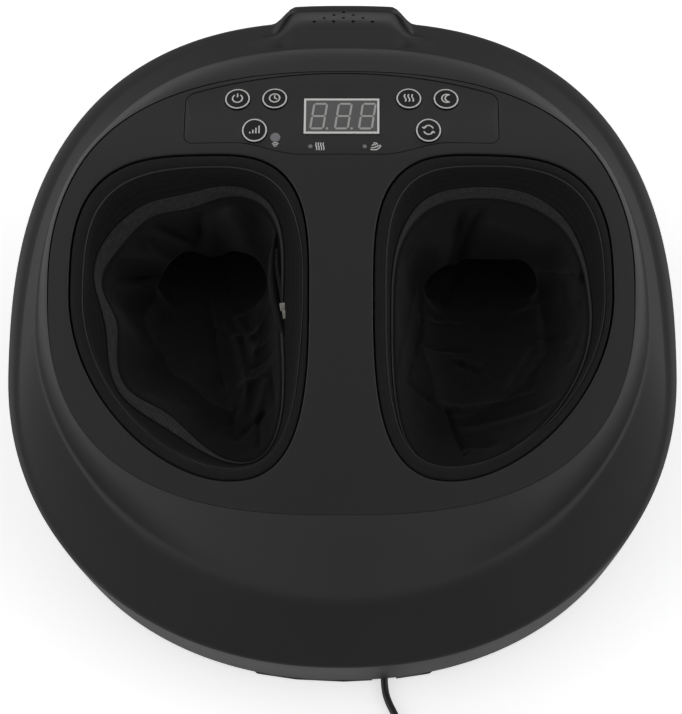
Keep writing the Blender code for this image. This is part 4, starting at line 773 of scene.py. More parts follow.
# Buttons: six 15 mm silicone caps, nearly black, each with a slightly raised silver ring and
# sign. They stand in the panel's holes on springy stems and sink 0.8 mm when pressed.
CAP_PROFILE = ((7.40, -4.0), (7.45, 0.35), (7.38, 0.62), (7.20, 0.76), (6.50, 0.84),
               (6.20, 0.80), (5.20, 0.98), (3.60, 1.14), (1.80, 1.22), (0.05, 1.25))
RING_PROFILE = ((7.28, 0.60), (7.24, 0.80), (7.08, 0.93), (6.60, 0.96), (6.44, 0.90),
                (6.40, 0.70))
CAP_COLUMNS = 72
SIGN_STROKE = 0.42
SIGN_FLATTEN = 0.35
SIGN_LIFT = 1.24
STROKE_ROUNDNESS = 2
SIGN_FALL = 0.0085


def stance(x, y, above=0.0):
    """Place and turn of a part that stands square to the plateau."""
    up = top_normal(x, y)
    across = Vector((0.0, 1.0, 0.0)).cross(up).normalized()
    turn = Matrix((across, up.cross(across), up)).transposed().to_4x4()
    return Matrix.Translation(Vector((x, y, top_z(x, y))) + up * above) @ turn


def spun(name, profile, columns, place, closed=False):
    """Round piece from a profile of radius and height in millimetres."""
    rings = []
    for radius, z in profile:
        rings.append([Vector((x, y, z)) / 1000 for x, y in ring_loop(0.0, 0.0, radius, columns)])
    if closed:
        rings.append(list(rings[0]))
    made = wrapped(name, rings)
    if not closed:
        edit_all((bpy.ops.mesh.region_to_loop, {}), (bpy.ops.mesh.edge_face_add, {}))
    made.data.transform(place)
    outwards(made)
    return made


def outwards(piece):
    """Turns every face of a closed piece outwards."""
    pick(piece)
    edit_all((bpy.ops.mesh.normals_make_consistent, {"inside": False}))


def drawn(name, lines, stroke, place, lift):
    """Sign of round-ended strokes, pressed nearly flat. Its lines are in millimetres."""
    flat_lines = [[(x / 1000, y / 1000, 0.0) for x, y in line] for line in lines]
    pick(add_strokes(name, flat_lines, stroke / 1000, STROKE_ROUNDNESS))
    bpy.ops.object.convert(target="MESH")
    made = bpy.context.object
    for vert in made.data.vertices:
        reach = hypot(vert.co.x, vert.co.y) * 1000
        vert.co.z = vert.co.z * SIGN_FLATTEN + (lift - SIGN_FALL * reach * reach) / 1000
    made.data.transform(place)
    return made


def arc(radius, start, end, x=0.0, y=0.0, steps=24):
    """Part of a circle, by its angles in degrees."""
    turns = [radians(start + (end - start) * step / steps) for step in range(steps + 1)]
    return [(x + radius * cos(turn), y + radius * sin(turn)) for turn in turns]


def wave(x, low, high, swing=0.45, steps=16):
    """An upright wavy line."""
    return [(x + swing * sin(2 * pi * step / steps), low + (high - low) * step / steps)
            for step in range(steps + 1)]


# Silicone is dull and dark; the printed silver is a matt, pale metallic ink.
button_rubber = moulded("black_silicone", "#0b0b0b", 0.5, 0.3, 0.006, IOR=1.43)
silver_ink = moulded("matt_silver_ink", "#d2d2d0", 0.42, 0.12, 0.002, fleck=0.02, Metallic=0.15)

SIGNS = {
    "power": [arc(2.9, 125, 415), [(0.0, 0.7), (0.0, 3.5)]],
    "timer": [arc(3.0, 90, 450), [(0.0, 2.0), (0.0, 0.0), (1.5, -0.9)]],
    "heating": [wave(x, -2.7, 2.7) for x in (-2.2, 0.0, 2.2)],
    "relax": [arc(3.0, 60, 300, 0.5) + arc(2.55, 270, 90, 2.0)[3:-3]
              + arc(3.0, 60, 62, 0.5, steps=1)],
    "intensity": [[(x, -2.2), (x, top)]
                  for x, top in ((-2.7, -1.2), (-0.9, 0.0), (0.9, 1.3), (2.7, 2.6))],
    "mode": [arc(2.8, 20, 160), arc(2.8, 200, 340), [(-3.6, 1.9), (-2.6, 0.9), (-1.5, 1.8)],
             [(3.6, -1.9), (2.6, -0.9), (1.5, -1.8)]],
}
for name, (x, y) in BUTTONS.items():
    body = name + "_button"
    cap = spun(name + "_cap", CAP_PROFILE, CAP_COLUMNS, stance(x, y))
    smooth(cap, 40.0)
    keep(cap, button_rubber, body, "button_rubber", body)
    ring = spun(name + "_ring", RING_PROFILE, CAP_COLUMNS, stance(x, y), closed=True)
    smooth(ring, 60.0)
    keep(ring, silver_ink, body, "button_rubber", body)
    sign = drawn(name + "_sign", SIGNS[name], SIGN_STROKE, stance(x, y), SIGN_LIFT)
    smooth(sign, 60.0)
    keep(sign, silver_ink, body, "button_rubber", body)

# Display: a seven-segment module behind a clear window, which is clipped into the panel. The
# window has a printed pale frame; its three unlit figures are a little lighter than its face.
FRAME_WIDTH = 1.2
FRAME_HEIGHT = 0.3
FRAME_DEPTH = 0.4
FACE_DEPTH = 1.6
FIGURE_CENTRES = (-13.4, 1.0, 15.0)
FIGURE_HALF = (3.75, 8.3)
FIGURE_LEAN = 0.14
SEGMENT_HALF = 0.62
SEGMENT_GAP = 0.22
SEGMENT_RISE = 0.12
SEGMENT_DEPTH = 0.2
POINT_PLACE = (4.9, -8.3)
POINT_RADIUS = 0.75
POINT_STEPS = 16


def flat_piece(name, shapes, low, high, place):
    """Closed flat pieces between two heights, from outlines in millimetres."""
    work = bmesh.new()
    for shape in shapes:
        lower = [work.verts.new((x / 1000, y / 1000, low / 1000)) for x, y in shape]
        upper = [work.verts.new((x / 1000, y / 1000, high / 1000)) for x, y in shape]
        work.faces.new(upper)
        work.faces.new(lower[::-1])
        for i in range(len(shape)):
            after = (i + 1) % len(shape)
            work.faces.new((lower[i], lower[after], upper[after], upper[i]))
    made = from_faces(name, work)
    made.data.transform(place)
    return made


def segment(x, y, half, upright):
    """Six-cornered bar of a figure, with its pointed ends."""
    end = half - SEGMENT_GAP
    flat = end - SEGMENT_HALF
    shape = [(-end, 0.0), (-flat, -SEGMENT_HALF), (flat, -SEGMENT_HALF), (end, 0.0),
             (flat, SEGMENT_HALF), (-flat, SEGMENT_HALF)]
    if upright:
        shape = [(-v, u) for u, v in shape]
    return [(x + u + (y + v) * FIGURE_LEAN, y + v) for u, v in shape]


# Grey tinted acrylic in front of the module's grey face; the frame and the segments are matt
# printed or moulded white that shows through it.
window_acrylic = moulded("grey_display_face", "#5a5a5a", 0.25, 0.4, 0.002, fleck=0.03, IOR=1.49)
frame_print = moulded("pale_frame_print", "#e0e0de", 0.5, 0.3, 0.003, fleck=0.02)
segment_white = moulded("unlit_segment_white", "#a9a9a7", 0.45, 0.3, 0.003, fleck=0.03)

place = stance(0.0, DISPLAY_Y, -PANEL_SINK)
width, depth = DISPLAY_SIZE[0] * 1000, DISPLAY_SIZE[1] * 1000
outer = box_loop(0.0, 0.0, width, depth, 1)
inner = box_loop(0.0, 0.0, width - 2 * FRAME_WIDTH, depth - 2 * FRAME_WIDTH, 1)
face = flat_piece("display_face", [outer], -FACE_DEPTH, 0.0, place)
keep(face, window_acrylic, "housing", "window_acrylic", "display_window")
bars = [(outer[i - 1], outer[i], inner[i], inner[i - 1]) for i in range(4)]
frame_piece = flat_piece("display_frame", bars, -FRAME_DEPTH, FRAME_HEIGHT, place)
keep(frame_piece, frame_print, "housing", "window_acrylic", "display_window")
shapes = [ring_loop(centre + POINT_PLACE[0], POINT_PLACE[1], POINT_RADIUS, POINT_STEPS)
          for centre in FIGURE_CENTRES[:2]]
half_x, half_y = FIGURE_HALF
for centre in FIGURE_CENTRES:
    shapes += [segment(centre, y, half_x, False) for y in (-half_y, 0.0, half_y)]
    shapes += [segment(centre + side * half_x, y, half_y / 2, True)
               for side in (-1, 1) for y in (-half_y / 2, half_y / 2)]
segments = flat_piece("display_figures", shapes, -SEGMENT_DEPTH, SEGMENT_RISE, place)
keep(segments, segment_white, "housing", "window_acrylic", "display_window")

# Receiver window and two lamp lenses: small domed discs of smoky polycarbonate pressed into
# the panel from behind, unlit. Printed signs beside them tell heat, air and the receiver.
LENS_COLUMNS = 32
# Share of the lens's radius and height in millimetres, then the flat spot at its crown.
LENS_SHARES = ((1.0, -2.0), (1.0, 0.02), (0.94, 0.10), (0.7, 0.18), (0.35, 0.22))
LENS_CROWN = (0.02, 0.23)
LAMP_SIGN_LIFT = 0.03
# Lines and stroke of each sign in millimetres, and its place.
LAMP_SIGNS = {
    "heat_sign": ([wave(x, -2.3, 2.3, 0.3) for x in (-2.1, -0.7, 0.7, 2.1)], 0.3,
                  -0.0125, 0.0811),
    "air_sign": ([[(-2.6, -2.0), (0.8, -2.0), (2.2, -1.2), (3.6, 0.4)],
                  [(-2.4, -1.0), (-0.2, -0.6), (1.6, 0.2), (3.2, 0.8)],
                  [(-1.8, 0.4), (-0.6, 1.2), (0.6, 1.0)],
                  [(-1.0, 2.0), (0.4, 2.2), (1.6, 1.2)]], 0.34, 0.0195, 0.0811),
    "receiver_sign": ([arc(0.9, 40, 140), arc(1.9, 45, 135), arc(2.9, 50, 130)], 0.26,
                      -0.0385, 0.0806),
}
lens_smoke = moulded("smoky_polycarbonate", "#77777a", 0.3, 0.3, 0.002, fleck=0.04, IOR=1.58)
for name, (x, y, radius) in LENSES.items():
    profile = [(radius * 1000 * share, z) for share, z in LENS_SHARES] + [LENS_CROWN]
    lens = spun(name + "_disc", profile, LENS_COLUMNS, stance(x, y, -PANEL_SINK))
    smooth(lens, 50.0)
    keep(lens, lens_smoke, "housing", "window_acrylic", name)
for name, (lines, stroke, x, y) in LAMP_SIGNS.items():
    sign = drawn(name, lines, stroke, stance(x, y, -PANEL_SINK), LAMP_SIGN_LIFT)
    smooth(sign, 60.0)
    keep(sign, silver_ink, "housing", "panel_plastic", "control_panel")

# Collars: a fabric-covered foam rim round each foot opening, tucked under the cover's edge and
# stitched to the liner along a fine raised seam on its inner side.
WELL_COLUMNS = 240
PIPING_ROWS = (8, 10)
# The cloths' own map: metres round an opening and down a collar.
CLOTH_ROUND = 0.5
COLLAR_DOWN = 0.02
WEAVE_RANGE = (0.6, 1.7)
WEAVE_STRENGTH = 0.7
FUZZ_SCALE = 260.0
SIDES = {"left": -1, "right": 1}
# Section of a collar and its piping: share of its width, then millimetres further in and below.
COLLAR_SECTION = ((0, 0.6, 6.5), (0, 0.6, 2.2), (0, 0.85, 0.9), (0, 1.5, 0.15), (0.3, 0.8, -0.25),
                  (0.5, 0.5, -0.3), (0.7, 0.2, 0), (1, -1.5, 0.75), (1, -1.05, 1.3),
                  (1, -0.8, 1.05), (1, -0.45, 0.85), (1, -0.1, 1.15), (1, 0, 1.8), (1, 0, 6.5))
# Width of each collar in millimetres, by the direction in degrees.
COLLAR_WIDTHS = {
    "left": [(0, 8.2), (35, 8.5), (60, 8.6), (88, 7.2), (115, 7.4), (140, 5.6), (163, 3.6),
             (188, 3.7), (220, 5.4), (248, 6.2), (270, 7.6), (292, 7), (320, 7.3)],
    "right": [(8, 5.4), (30, 6), (55, 6.4), (78, 6.4), (113, 7.6), (146, 7.8), (172, 7.4),
              (216, 7.6), (245, 8.2), (275, 8.2), (292, 6.8), (308, 5.6), (335, 5)],
}


def around(table, count):
    """Columns of a table by angle for evenly spaced directions, evened out over a twelfth."""
    angles = np.arange(count) * 360 / count
    window = np.hanning(count // 12 + 3)
    half = len(window) // 2
    spread = []
    starts, *columns = zip(*table)
    for values in columns:
        column = np.interp(angles, starts, values, period=360)
        shifted = [np.roll(column, step - half) * weight for step, weight in enumerate(window)]
        spread.append(sum(shifted) / window.sum())
    return spread


def well_point(column, inset, below, mirror):
    """Point inside a foot opening: millimetres in from its outline and below the plateau."""
    x, y = outline_xy(WELL, 2 * pi * column / WELL_COLUMNS, -inset / 1000, mirror)
    return Vector((x, y, top_z(x, y) - below / 1000))


def wave_scale(width_mm):
    """Scale of a wave texture for bands of a real width."""
    return 2 * pi / 20 * 1000 / width_mm


def math_node(tree, operation, *values):
    """Result of a math node."""
    return add_node(tree, "Math", dict(enumerate(values)), operation=operation).outputs["Value"]


def ramp(tree, value, low, high, top=1.0, **settings):
    """Climbs from 0 at one value to the top at another, and no further."""
    return add_node(tree, "MapRange", {"Value": value, "From Min": low, "From Max": high,
                                       "To Max": top}, **settings).outputs["Result"]


def woven(name, colour, light, roughness, across_mm, along_mm, depth_mm, **shader_values):
    """Cloth: crossing threads as fine waves, lighter on their crowns. The cloth's own map runs in
    metres round the opening and down from its rim, so threads keep their real width."""
    made, tree, shader = start_material(name, Roughness=roughness, **shader_values)
    place = add_node(tree, "UVMap", uv_map="cloth").outputs["UV"]
    threads = [add_node(tree, "TexWave", {"Vector": place, "Scale": wave_scale(width),
                                          "Distortion": 1.2, "Detail": 2.0},
                        bands_direction=axis).outputs["Fac"]
               for axis, width in (("X", across_mm), ("Y", along_mm))]
    cross = math_node(tree, "MAXIMUM", *threads)
    height = math_node(tree, "ADD", cross, speckle(tree, place, FUZZ_SCALE, 4.0))
    blend(tree, shader, ramp(tree, height, *WEAVE_RANGE), linear(colour), linear(light))
    emboss(tree, shader, height, depth_mm, WEAVE_STRENGTH)
    return made


def paint_rows(piece, *parts):
    """Gives the rows of faces from each start on a material of their own."""
    rows = np.arange(len(piece.data.polygons)) // WELL_COLUMNS
    indices = np.zeros(len(rows), np.int32)
    for start, material in parts:
        if material.name not in piece.data.materials:
            piece.data.materials.append(material)
        indices[rows >= start] = piece.data.materials.find(material.name)
    piece.data.polygons.foreach_set("material_index", indices)


def map_cloth(piece, around_m, down_m):
    """Names the grid's own map and scales it to metres."""
    layer = piece.data.uv_layers[0]
    layer.name = "cloth"
    values = np.empty(len(layer.uv) * 2, np.float32)
    layer.uv.foreach_get("vector", values)
    values = values.reshape(-1, 2) * (around_m, down_m)
    layer.uv.foreach_set("vector", values.astype(np.float32).ravel())


# Brushed polyester over foam: dull, with a fine even tooth.
collar_fabric = woven("brushed_polyester", "#101010", "#1c1c1c", 0.9, 0.55, 0.55, 0.05,
                      Sheen_Weight=0.06, Sheen_Roughness=0.5, Specular_IOR_Level=0.25)

# Piping: twisted polyester cord in the collar's seam, a raised thin line that catches the light;
# its lighter colour is a painted highlight along it.
piping_with_painted_highlight = woven("twisted_polyester_piping", "#161616", "#363636", 0.6, 1.0, 2.0, 0.05)

for side, mirror in SIDES.items():
    width = around(COLLAR_WIDTHS[side], WELL_COLUMNS)[0]
    rings = [[well_point(i, share * width[i] + inward, below, mirror) for i in range(WELL_COLUMNS)]
             for share, inward, below in COLLAR_SECTION]
    collar = wrapped(side + "_collar_band", rings + rings[:1])
    outwards(collar)
    map_cloth(collar, CLOTH_ROUND, COLLAR_DOWN)
    smooth(collar, 50.0)
    keep(collar, collar_fabric, "housing", "collar_fabric", side + "_collar")
    # The piping's rows get the lighter cord, which is a painted highlight along the seam.
    paint_rows(collar, (PIPING_ROWS[0], piping_with_painted_highlight), (PIPING_ROWS[1] + 1, collar_fabric))

# Liners: a black knitted sack for each foot, sewn to the collar. Below the seam hangs a smooth
# ribbed cloth; a coarse knitted tape joins it to the loose sack, which is tucked under the
# cover at the toes and lies on the sole plate in folds.
LINER_THICKNESS = 0.0007
LINER_STEPS = 4
WALL_ROWS = 8
TAPE_ROWS = 5
# Row of the sack from which its cloth is painted lighter, as painted light on its sole.
SOLE_ROW = 27
ROW_DOWN = 0.0024
FLOOR_Z = 0.0725
SACK_LOWEST_Z = 0.0690
# In millimetres, but for the bend, which is a power: how far the cloth is tucked under the
# collar, how deep its edge and its start lie, how far it bellies and how its slope grows, how
# far the tape stands up and out, and the steps inwards and down at its end.
LINER_TUCK = 0.3
LINER_TOP = 1.9
LINER_START = 2.0
LINER_BELLY = 0.9
LINER_BEND = 1.3
TAPE_RISE = 0.7
TAPE_STEP = 0.4
TAPE_TURN = ((0.2, 0.9), (1.0, 1.5), (1.6, 1.2))
# Tapes by the direction in degrees: how far in their outer and inner edges lie, then how far
# down, in millimetres.
TAPES = {
    "left": [(0, 16, 22.5, 19, 27), (9, 11, 13.5, 20, 27), (18, 10, 13, 20, 27),
             (28, 12, 19.5, 20, 27), (43, 16.5, 22.7, 20, 27), (60, 15.3, 19.8, 20, 27),
             (78, 14.8, 20.7, 20, 27), (92, 10.5, 15.4, 19, 26), (105, 9.8, 12.8, 18, 24),
             (125, 11.2, 13, 18, 22), (140, 13, 14.6, 20, 23), (155, 14.5, 16.2, 22, 25),
             (175, 15.5, 17.4, 24, 27), (200, 15.5, 17.2, 24, 27), (225, 14, 15.5, 22, 25),
             (245, 12.5, 14, 20, 24), (262, 13, 15, 20, 25), (275, 16, 19.5, 20, 28),
             (284, 19.6, 24.5, 20, 28), (296, 19.5, 29.4, 20, 28), (305, 15, 24, 20, 28),
             (316, 10.5, 16.3, 20, 28), (325, 12, 15.8, 20, 28), (337, 16.8, 21.3, 20, 28),
             (348, 18.6, 25, 20, 28)],
    "right": [(6, 11.5, 12.6, 17, 20), (23, 14, 15.4, 16, 20), (38, 16.2, 18.2, 15, 20),
              (54, 15.4, 19, 15, 21), (70, 12.8, 17, 15, 21), (88, 12, 15.6, 15, 21),
              (106, 13.6, 17.4, 15, 21), (124, 14.4, 17.6, 15, 21), (136, 13.6, 15.2, 15, 20),
              (150, 11.4, 12.6, 16, 19), (172, 9.8, 10.8, 16, 18), (216, 9.8, 10.8, 16, 18),
              (245, 10.4, 11.4, 16, 18), (275, 10.4, 11.4, 16, 18), (306, 8.4, 9.4, 16, 18),
              (335, 8.6, 9.6, 16, 18)],
}
# Each drape runs from the tape to the middle: share of the way out, and share of the height.
SIDE_DRAPE_SHARES = ((1, 1), (0.95, 0.82), (0.90, 0.64), (0.85, 0.48), (0.80, 0.36), (0.74, 0.26),
                     (0.68, 0.18), (0.61, 0.12), (0.53, 0.07), (0.45, 0.04), (0.36, 0.02),
                     (0.26, 0), (0.13, 0), (0, 0))
NEAR_DRAPE_SHARES = ((1, 1), (0.93, 0.85), (0.86, 0.70), (0.79, 0.56), (0.72, 0.44), (0.65, 0.33),
                     (0.57, 0.23), (0.49, 0.15), (0.41, 0.09), (0.33, 0.05), (0.25, 0.02),
                     (0.17, 0), (0.08, 0), (0, 0))
TOE_DRAPE_SHARES = {
    "left": ((1, 1), (0.92, 0.88), (0.84, 0.76), (0.76, 0.62), (0.73, 0.54), (0.76, 0.46),
             (0.87, 0.38), (0.98, 0.28), (1.04, 0.14), (0.96, 0.05), (0.74, 0.01), (0.5, 0),
             (0.24, 0), (0, 0)),
    "right": ((1, 1), (0.90, 0.90), (0.81, 0.80), (0.72, 0.67), (0.67, 0.56), (0.70, 0.47),
              (0.82, 0.38), (0.94, 0.28), (1.02, 0.14), (0.94, 0.05), (0.72, 0.01), (0.5, 0),
              (0.24, 0), (0, 0)),
}
# Where the drapes of the toes and of the near side begin and are full, by the direction's sine.
TOE_TURNS = {"left": (0.36, 0.78), "right": (0.42, 0.82)}
HEEL_TURNS = (0.25, 0.75)
SACK_MIDDLES = {"left": (0.080, 0.008), "right": (0.084, 0.004)}
# Gathers round the sack: how many, their size in millimetres and where they start. They push
# the cloth out by the first share and up by the second.
GATHERS = {
    "left": ((5, 3.0, 0.4), (9, 1.2, 1.9), (14, 0.4, 0.3)),
    "right": ((4, 2.4, 2.6), (7, 1.2, 0.2), (13, 0.3, 1.1)),
}
GATHER_SHARES = (0.8, 0.5)
# Soft waves of the cloth: length in millimetres, turns per metre of height, offset and height in
# millimetres. There are none where the cloth lies under the cover, nor on its first rows.
SACK_WAVES = ((16, 60, 0, 1.6), (5, 190, 7, 0.45))
UNDER_COVER_Y = (44, 50)
UNDER_COVER_Z = (0.100, 0.090)
FADE_ROWS = 5
CREASE_POWER = 1.6
CREASE_END = 1.4
CREASE_REACH = 3
# Creases on the sack: start and end, half width and height, all in millimetres.
CREASES = {
    "left": [(84, 30, 74, -26, 3, -4), (74, -26, 64, -65, 3, -4), (83, 28, 66, 2, 2.4, 4),
             (65, 0, 59, -26, 2.6, 5), (65, 14, 53, -9, 2.6, 5.5), (55, 1, 43, 11, 2.4, 4),
             (53, -12, 42, -9, 2, 4.5), (54, -20, 42, -20, 1.8, -4.5), (60, -31, 42, -30, 2.6, 6),
             (58, -33, 58, -47, 2, 4.5), (42, -31, 37, -63, 1.8, -5), (46, -38, 51, -58, 2.8, 6),
             (63, -70, 46, -56, 1.8, -4), (66, -56, 64, -45, 2, -4), (49, -61, 48, -78, 1.6, -4),
             (60, -52, 52, -68, 5, 5), (117, -26, 113, 16, 4, -3), (128, 6, 112, 24, 3, 3.5),
             (134, 20, 116, 29, 2.6, 3.5), (111, 1, 106, 1, 0.8, 0.8), (109, -9, 97, -9, 0.9, 0.7),
             (95, -20, 90, -60, 6, 1.5), (104, 30, 118, 42, 3, 3.5), (70, 36, 74, 48, 3, -3.5)],
    "right": [(44, 23, 33, -40, 1.6, 5.5), (48, 13, 39, -34, 1.4, -3.5), (56, 14, 81, 17, 1.6, -2),
              (49, 11, 81, 11, 1, 1.2), (49, -6, 78, -6, 1.1, -1.8), (70, -12, 84, -17, 1.4, 2.6),
              (72, -15, 82, -20, 1, -2.2), (82, 17, 121, 18, 3, 3.5), (122, 15, 123, -3, 2.2, 3.5),
              (123, -1, 135, -9, 2, -4), (116, -7, 101, -33, 2.4, 2.2),
              (120, -19, 113, -38, 2, -1.8), (69, -46, 113, -42, 1.8, 3.5),
              (39, -40, 55, -44, 1.8, -4), (55, -44, 70, -47, 1.6, 4),
              (63, -49, 72, -83, 1.6, -5.5), (74, -57, 127, -52, 2.6, -3.5),
              (74, -66, 120, -58, 3, 2.5), (73, -76, 88, -77, 2.4, -4),
              (145, -9, 136, -27, 2.4, -4), (128, 1, 142, -22, 2.4, 3.5),
              (113, 26, 131, 24, 2.2, 4), (131, 24, 133, 14, 2, 3.5), (61, 27, 72, 46, 2, -4),
              (48, 30, 58, 33, 2, -3), (100, 46, 112, 34, 3, 3)],
}
# Pleats of the hanging cloth at the toes, laid out as the photograph shows them on the floor of
# the sack: start and end, half width and height, all in millimetres.
PLEATS = {
    "left": [(129, 77, 97, 63, 5, 11.5), (147, 56, 103, 51, 5, 9.2), (138, 29, 118, 39, 4, 9.2),
             (146, 43, 115, 42, 3.5, -8.1), (113, 75, 91, 65, 4, -9.2), (85, 89, 86, 72, 4, -11.5),
             (66, 82, 59, 68, 9, 13.8), (78, 80, 54, 84, 6, 6.9)],
    "right": [(70, 80, 63, 49, 4, -9.2), (83, 87, 70, 56, 3.5, -8.1), (86, 75, 117, 63, 8, 6.9),
              (40, 60, 58, 62, 8, 6.9), (119, 46, 140, 42, 3.5, 11.5),
              (140, 42, 141, 29, 3.5, 10.3)],
}
# The pleats fade between these rows of the cloth.
PLEAT_ROWS = (22, 16)


def crease_lift(x, y, creases):
    """Height that the creases add at a place, in metres."""
    lift = 0.0
    for x0, y0, x1, y1, half, height in creases:
        run_x, run_y = x1 - x0, y1 - y0
        share = ((x - x0) * run_x + (y - y0) * run_y) / (run_x ** 2 + run_y ** 2)
        beside = hypot(x - x0 - run_x * share, y - y0 - run_y * share)
        past = max(abs(share - 0.5) - 0.5, 0.0) * hypot(run_x, run_y)
        if max(beside, past) < CREASE_REACH * half:
            fall = (beside / half) ** CREASE_POWER + (past / half / CREASE_END) ** 2
            lift += height * exp(-fall)
    return lift / 1000


def sack_column(side, mirror, tape_end):
    """Route of the sack's cloth from the tape to the middle of the sole, in one direction."""
    middle = Vector((mirror * SACK_MIDDLES[side][0], SACK_MIDDLES[side][1], FLOOR_Z))
    out = Vector((tape_end.x - middle.x, tape_end.y - middle.y, 0.0))
    turn = atan2(out.y, mirror * out.x)
    toe = eased(sin(turn), *TOE_TURNS[side])
    heel = eased(-sin(turn), *HEEL_TURNS)
    gather = sum(size * cos(count * turn + start) for count, size, start in GATHERS[side])
    points = []
    drapes = zip(TOE_DRAPE_SHARES[side], NEAR_DRAPE_SHARES, SIDE_DRAPE_SHARES)
    for toe_row, heel_row, side_row in drapes:
        reach, rise = (t * toe + h * heel + s * (1 - toe - heel)
                       for t, h, s in zip(toe_row, heel_row, side_row))
        place = middle + out * reach
        place.z = FLOOR_Z + (tape_end.z - FLOOR_Z) * rise
        hang = 4 * rise * (1 - rise) * min(4 * (1 - reach) + toe, 1.0)
        place += out.normalized() * gather * hang / 1000 * GATHER_SHARES[0]
        place.z += gather * hang / 1000 * GATHER_SHARES[1]
        points.append(place)
    points = smooth_route(points, LINER_STEPS)[1:]
    for row, point in enumerate(points[:-1]):
        fade = min((row + 1) / FADE_ROWS, 1.0)
        x, y = mirror * point.x * 1000, point.y * 1000
        under_cover = eased(y, *UNDER_COVER_Y) * eased(point.z, *UNDER_COVER_Z)
        lift = crease_lift(x, y, CREASES[side])
        for length, turns, offset, height in SACK_WAVES:
            wavy = noise.noise(Vector((x / length, y / length, point.z * turns + offset)))
            lift += wavy * height / 1000
        seen_y = y + (point.z - FLOOR_Z) * tan(VIEW_TILT) * 1000
        pleat = crease_lift(x, seen_y, PLEATS[side]) * eased(row, *PLEAT_ROWS) * fade
        point.z += fade * (1 - under_cover) * lift
        point += TO_CAMERA * pleat
        point.z = max(point.z, SACK_LOWEST_Z)
    return points


# The smooth cloth hangs in fine upright ribs, and the tape is a looser, lighter knit. Both are
# drawn twice as coarse as they are, so that they show. The sack is a dull black jersey that
# drinks most of the light. Its sole is the same jersey painted lighter: painted light there.
rib_cloth = woven("ribbed_lining", "#090909", "#171717", 0.85, 1.3, 4.0, 0.14, Sheen_Weight=0.04,
                  Specular_IOR_Level=0.2)
knit_tape = woven("coarse_knit_tape", "#0c0c0c", "#404040", 0.9, 1.7, 1.7, 0.30, Sheen_Weight=0.08,
                  Specular_IOR_Level=0.25)
painted_light_sole_cloth = woven("black_jersey_painted_light_sole", "#131313", "#262626", 0.95, 0.4, 0.4, 0.04,
                   Sheen_Weight=0.1, Specular_IOR_Level=0.25)
sack_cloth = woven("black_jersey", "#0e0e0e", "#1d1d1d", 0.9, 0.4, 0.4, 0.04, Sheen_Weight=0.05,
                   Specular_IOR_Level=0.2)

for side, mirror in SIDES.items():
    width = around(COLLAR_WIDTHS[side], WELL_COLUMNS)[0]
    outer, inner, outer_drop, inner_drop = around(TAPES[side], WELL_COLUMNS)
    columns = []
    for i in range(WELL_COLUMNS):
        column = [well_point(i, width[i] - LINER_TUCK, LINER_TOP, mirror)]
        for row in range(1, WALL_ROWS + 1):
            share = row / WALL_ROWS
            inset = width[i] + (outer[i] - width[i]) * share ** LINER_BEND
            column.append(well_point(i, inset - LINER_BELLY * sin(pi * share),
                                     LINER_START + (outer_drop[i] - LINER_START) * share, mirror))
        start, edge = outer[i] + TAPE_STEP, outer_drop[i] - TAPE_RISE
        for row in range(TAPE_ROWS + 1):
            share = row / TAPE_ROWS
            column.append(well_point(i, start + (inner[i] - start) * share,
                                     edge + (inner_drop[i] - TAPE_RISE - edge) * share, mirror))
        column += [well_point(i, inner[i] + inward, inner_drop[i] + below, mirror)
                   for inward, below in TAPE_TURN]
        columns.append(column + sack_column(side, mirror, column[-1]))
    rings = [list(ring) for ring in zip(*columns)]
    liner = wrapped(side + "_liner_sack", rings)
    map_cloth(liner, CLOTH_ROUND, ROW_DOWN * len(rings))
    keep(liner, sack_cloth, "housing", "liner_cloth", side + "_liner")
    sack_row = WALL_ROWS + 1 + TAPE_ROWS
    # From the sole's row on, the sack's cloth is painted lighter: painted light on the floor of the
    # sack.
    paint_rows(liner, (0, rib_cloth), (WALL_ROWS + 1, knit_tape), (sack_row, sack_cloth),
               (sack_row + SOLE_ROW, painted_light_sole_cloth))
    thicken(liner, LINER_THICKNESS, 0.0)
    smooth(liner, 180.0)

# Zip: a fine moulded chain with a nickel-plated slider, sewn into the left sack on the bridge
# side under a folded flap, so that the sack can be taken out and washed. The right sack's lies
# under its folds.
ZIP_ROUTE = [(-0.0388, 0.0317), (-0.0382, 0.0197), (-0.0359, 0.0077), (-0.0338, -0.0048),
             (-0.0320, -0.0163), (-0.0302, -0.0273)]
FLAP_ROUTE = [(-0.0387, 0.0417), (-0.0405, 0.0307), (-0.0411, 0.0177), (-0.0397, 0.0057),
              (-0.0369, -0.0063), (-0.0337, -0.0183), (-0.0305, -0.0303)]
ZIP_BELOW = 0.0240
FLAP_BELOW = 0.0228
ROUTE_STEPS = {"zip": 8, "flap": 6}
FLAP_PITCH = 0.002
FLAP_CLOTH = (0.02, 0.08)
TOOTH_PITCH = 0.0012
TOOTH = (0.0021, 0.0007, 0.0008)
SLIDER = (0.0040, 0.0050, 0.0020)
PULL = (0.0022, 0.0050, 0.0007)
SLIDER_SHARE = 0.56
SLIDER_RISE = 0.0004
PULL_RISE = 0.0016
TOOTH_BEVEL = 0.00015
SLIDER_BEVEL = 0.0005
PULL_BEVEL = 0.0003
METAL_SHADE = 0.8
METAL_SWING = 0.3
# Section of the flap in millimetres, across and up, round from its crest.
FLAP_SECTION = [(0, 1.0), (0.8, 0.7), (1.1, 0), (1.6, -4), (3.0, -9), (-3.0, -9), (-1.6, -4),
                (-1.1, 0), (-0.8, 0.7)]


def below_rim(route, below, steps):
    """Smooth route at a given depth under the plateau."""
    return smooth_route([Vector((x, y, top_z(x, y) - below)) for x, y in route], steps)


def walked(route, pitch):
    """Places and headings a pitch apart along a route."""
    places = []
    travelled = due = 0.0
    for start, end in zip(route, route[1:]):
        length = (end - start).length
        while due <= travelled + length:
            places.append((start.lerp(end, (due - travelled) / length), (end - start).normalized()))
            due += pitch
        travelled += length
    return places


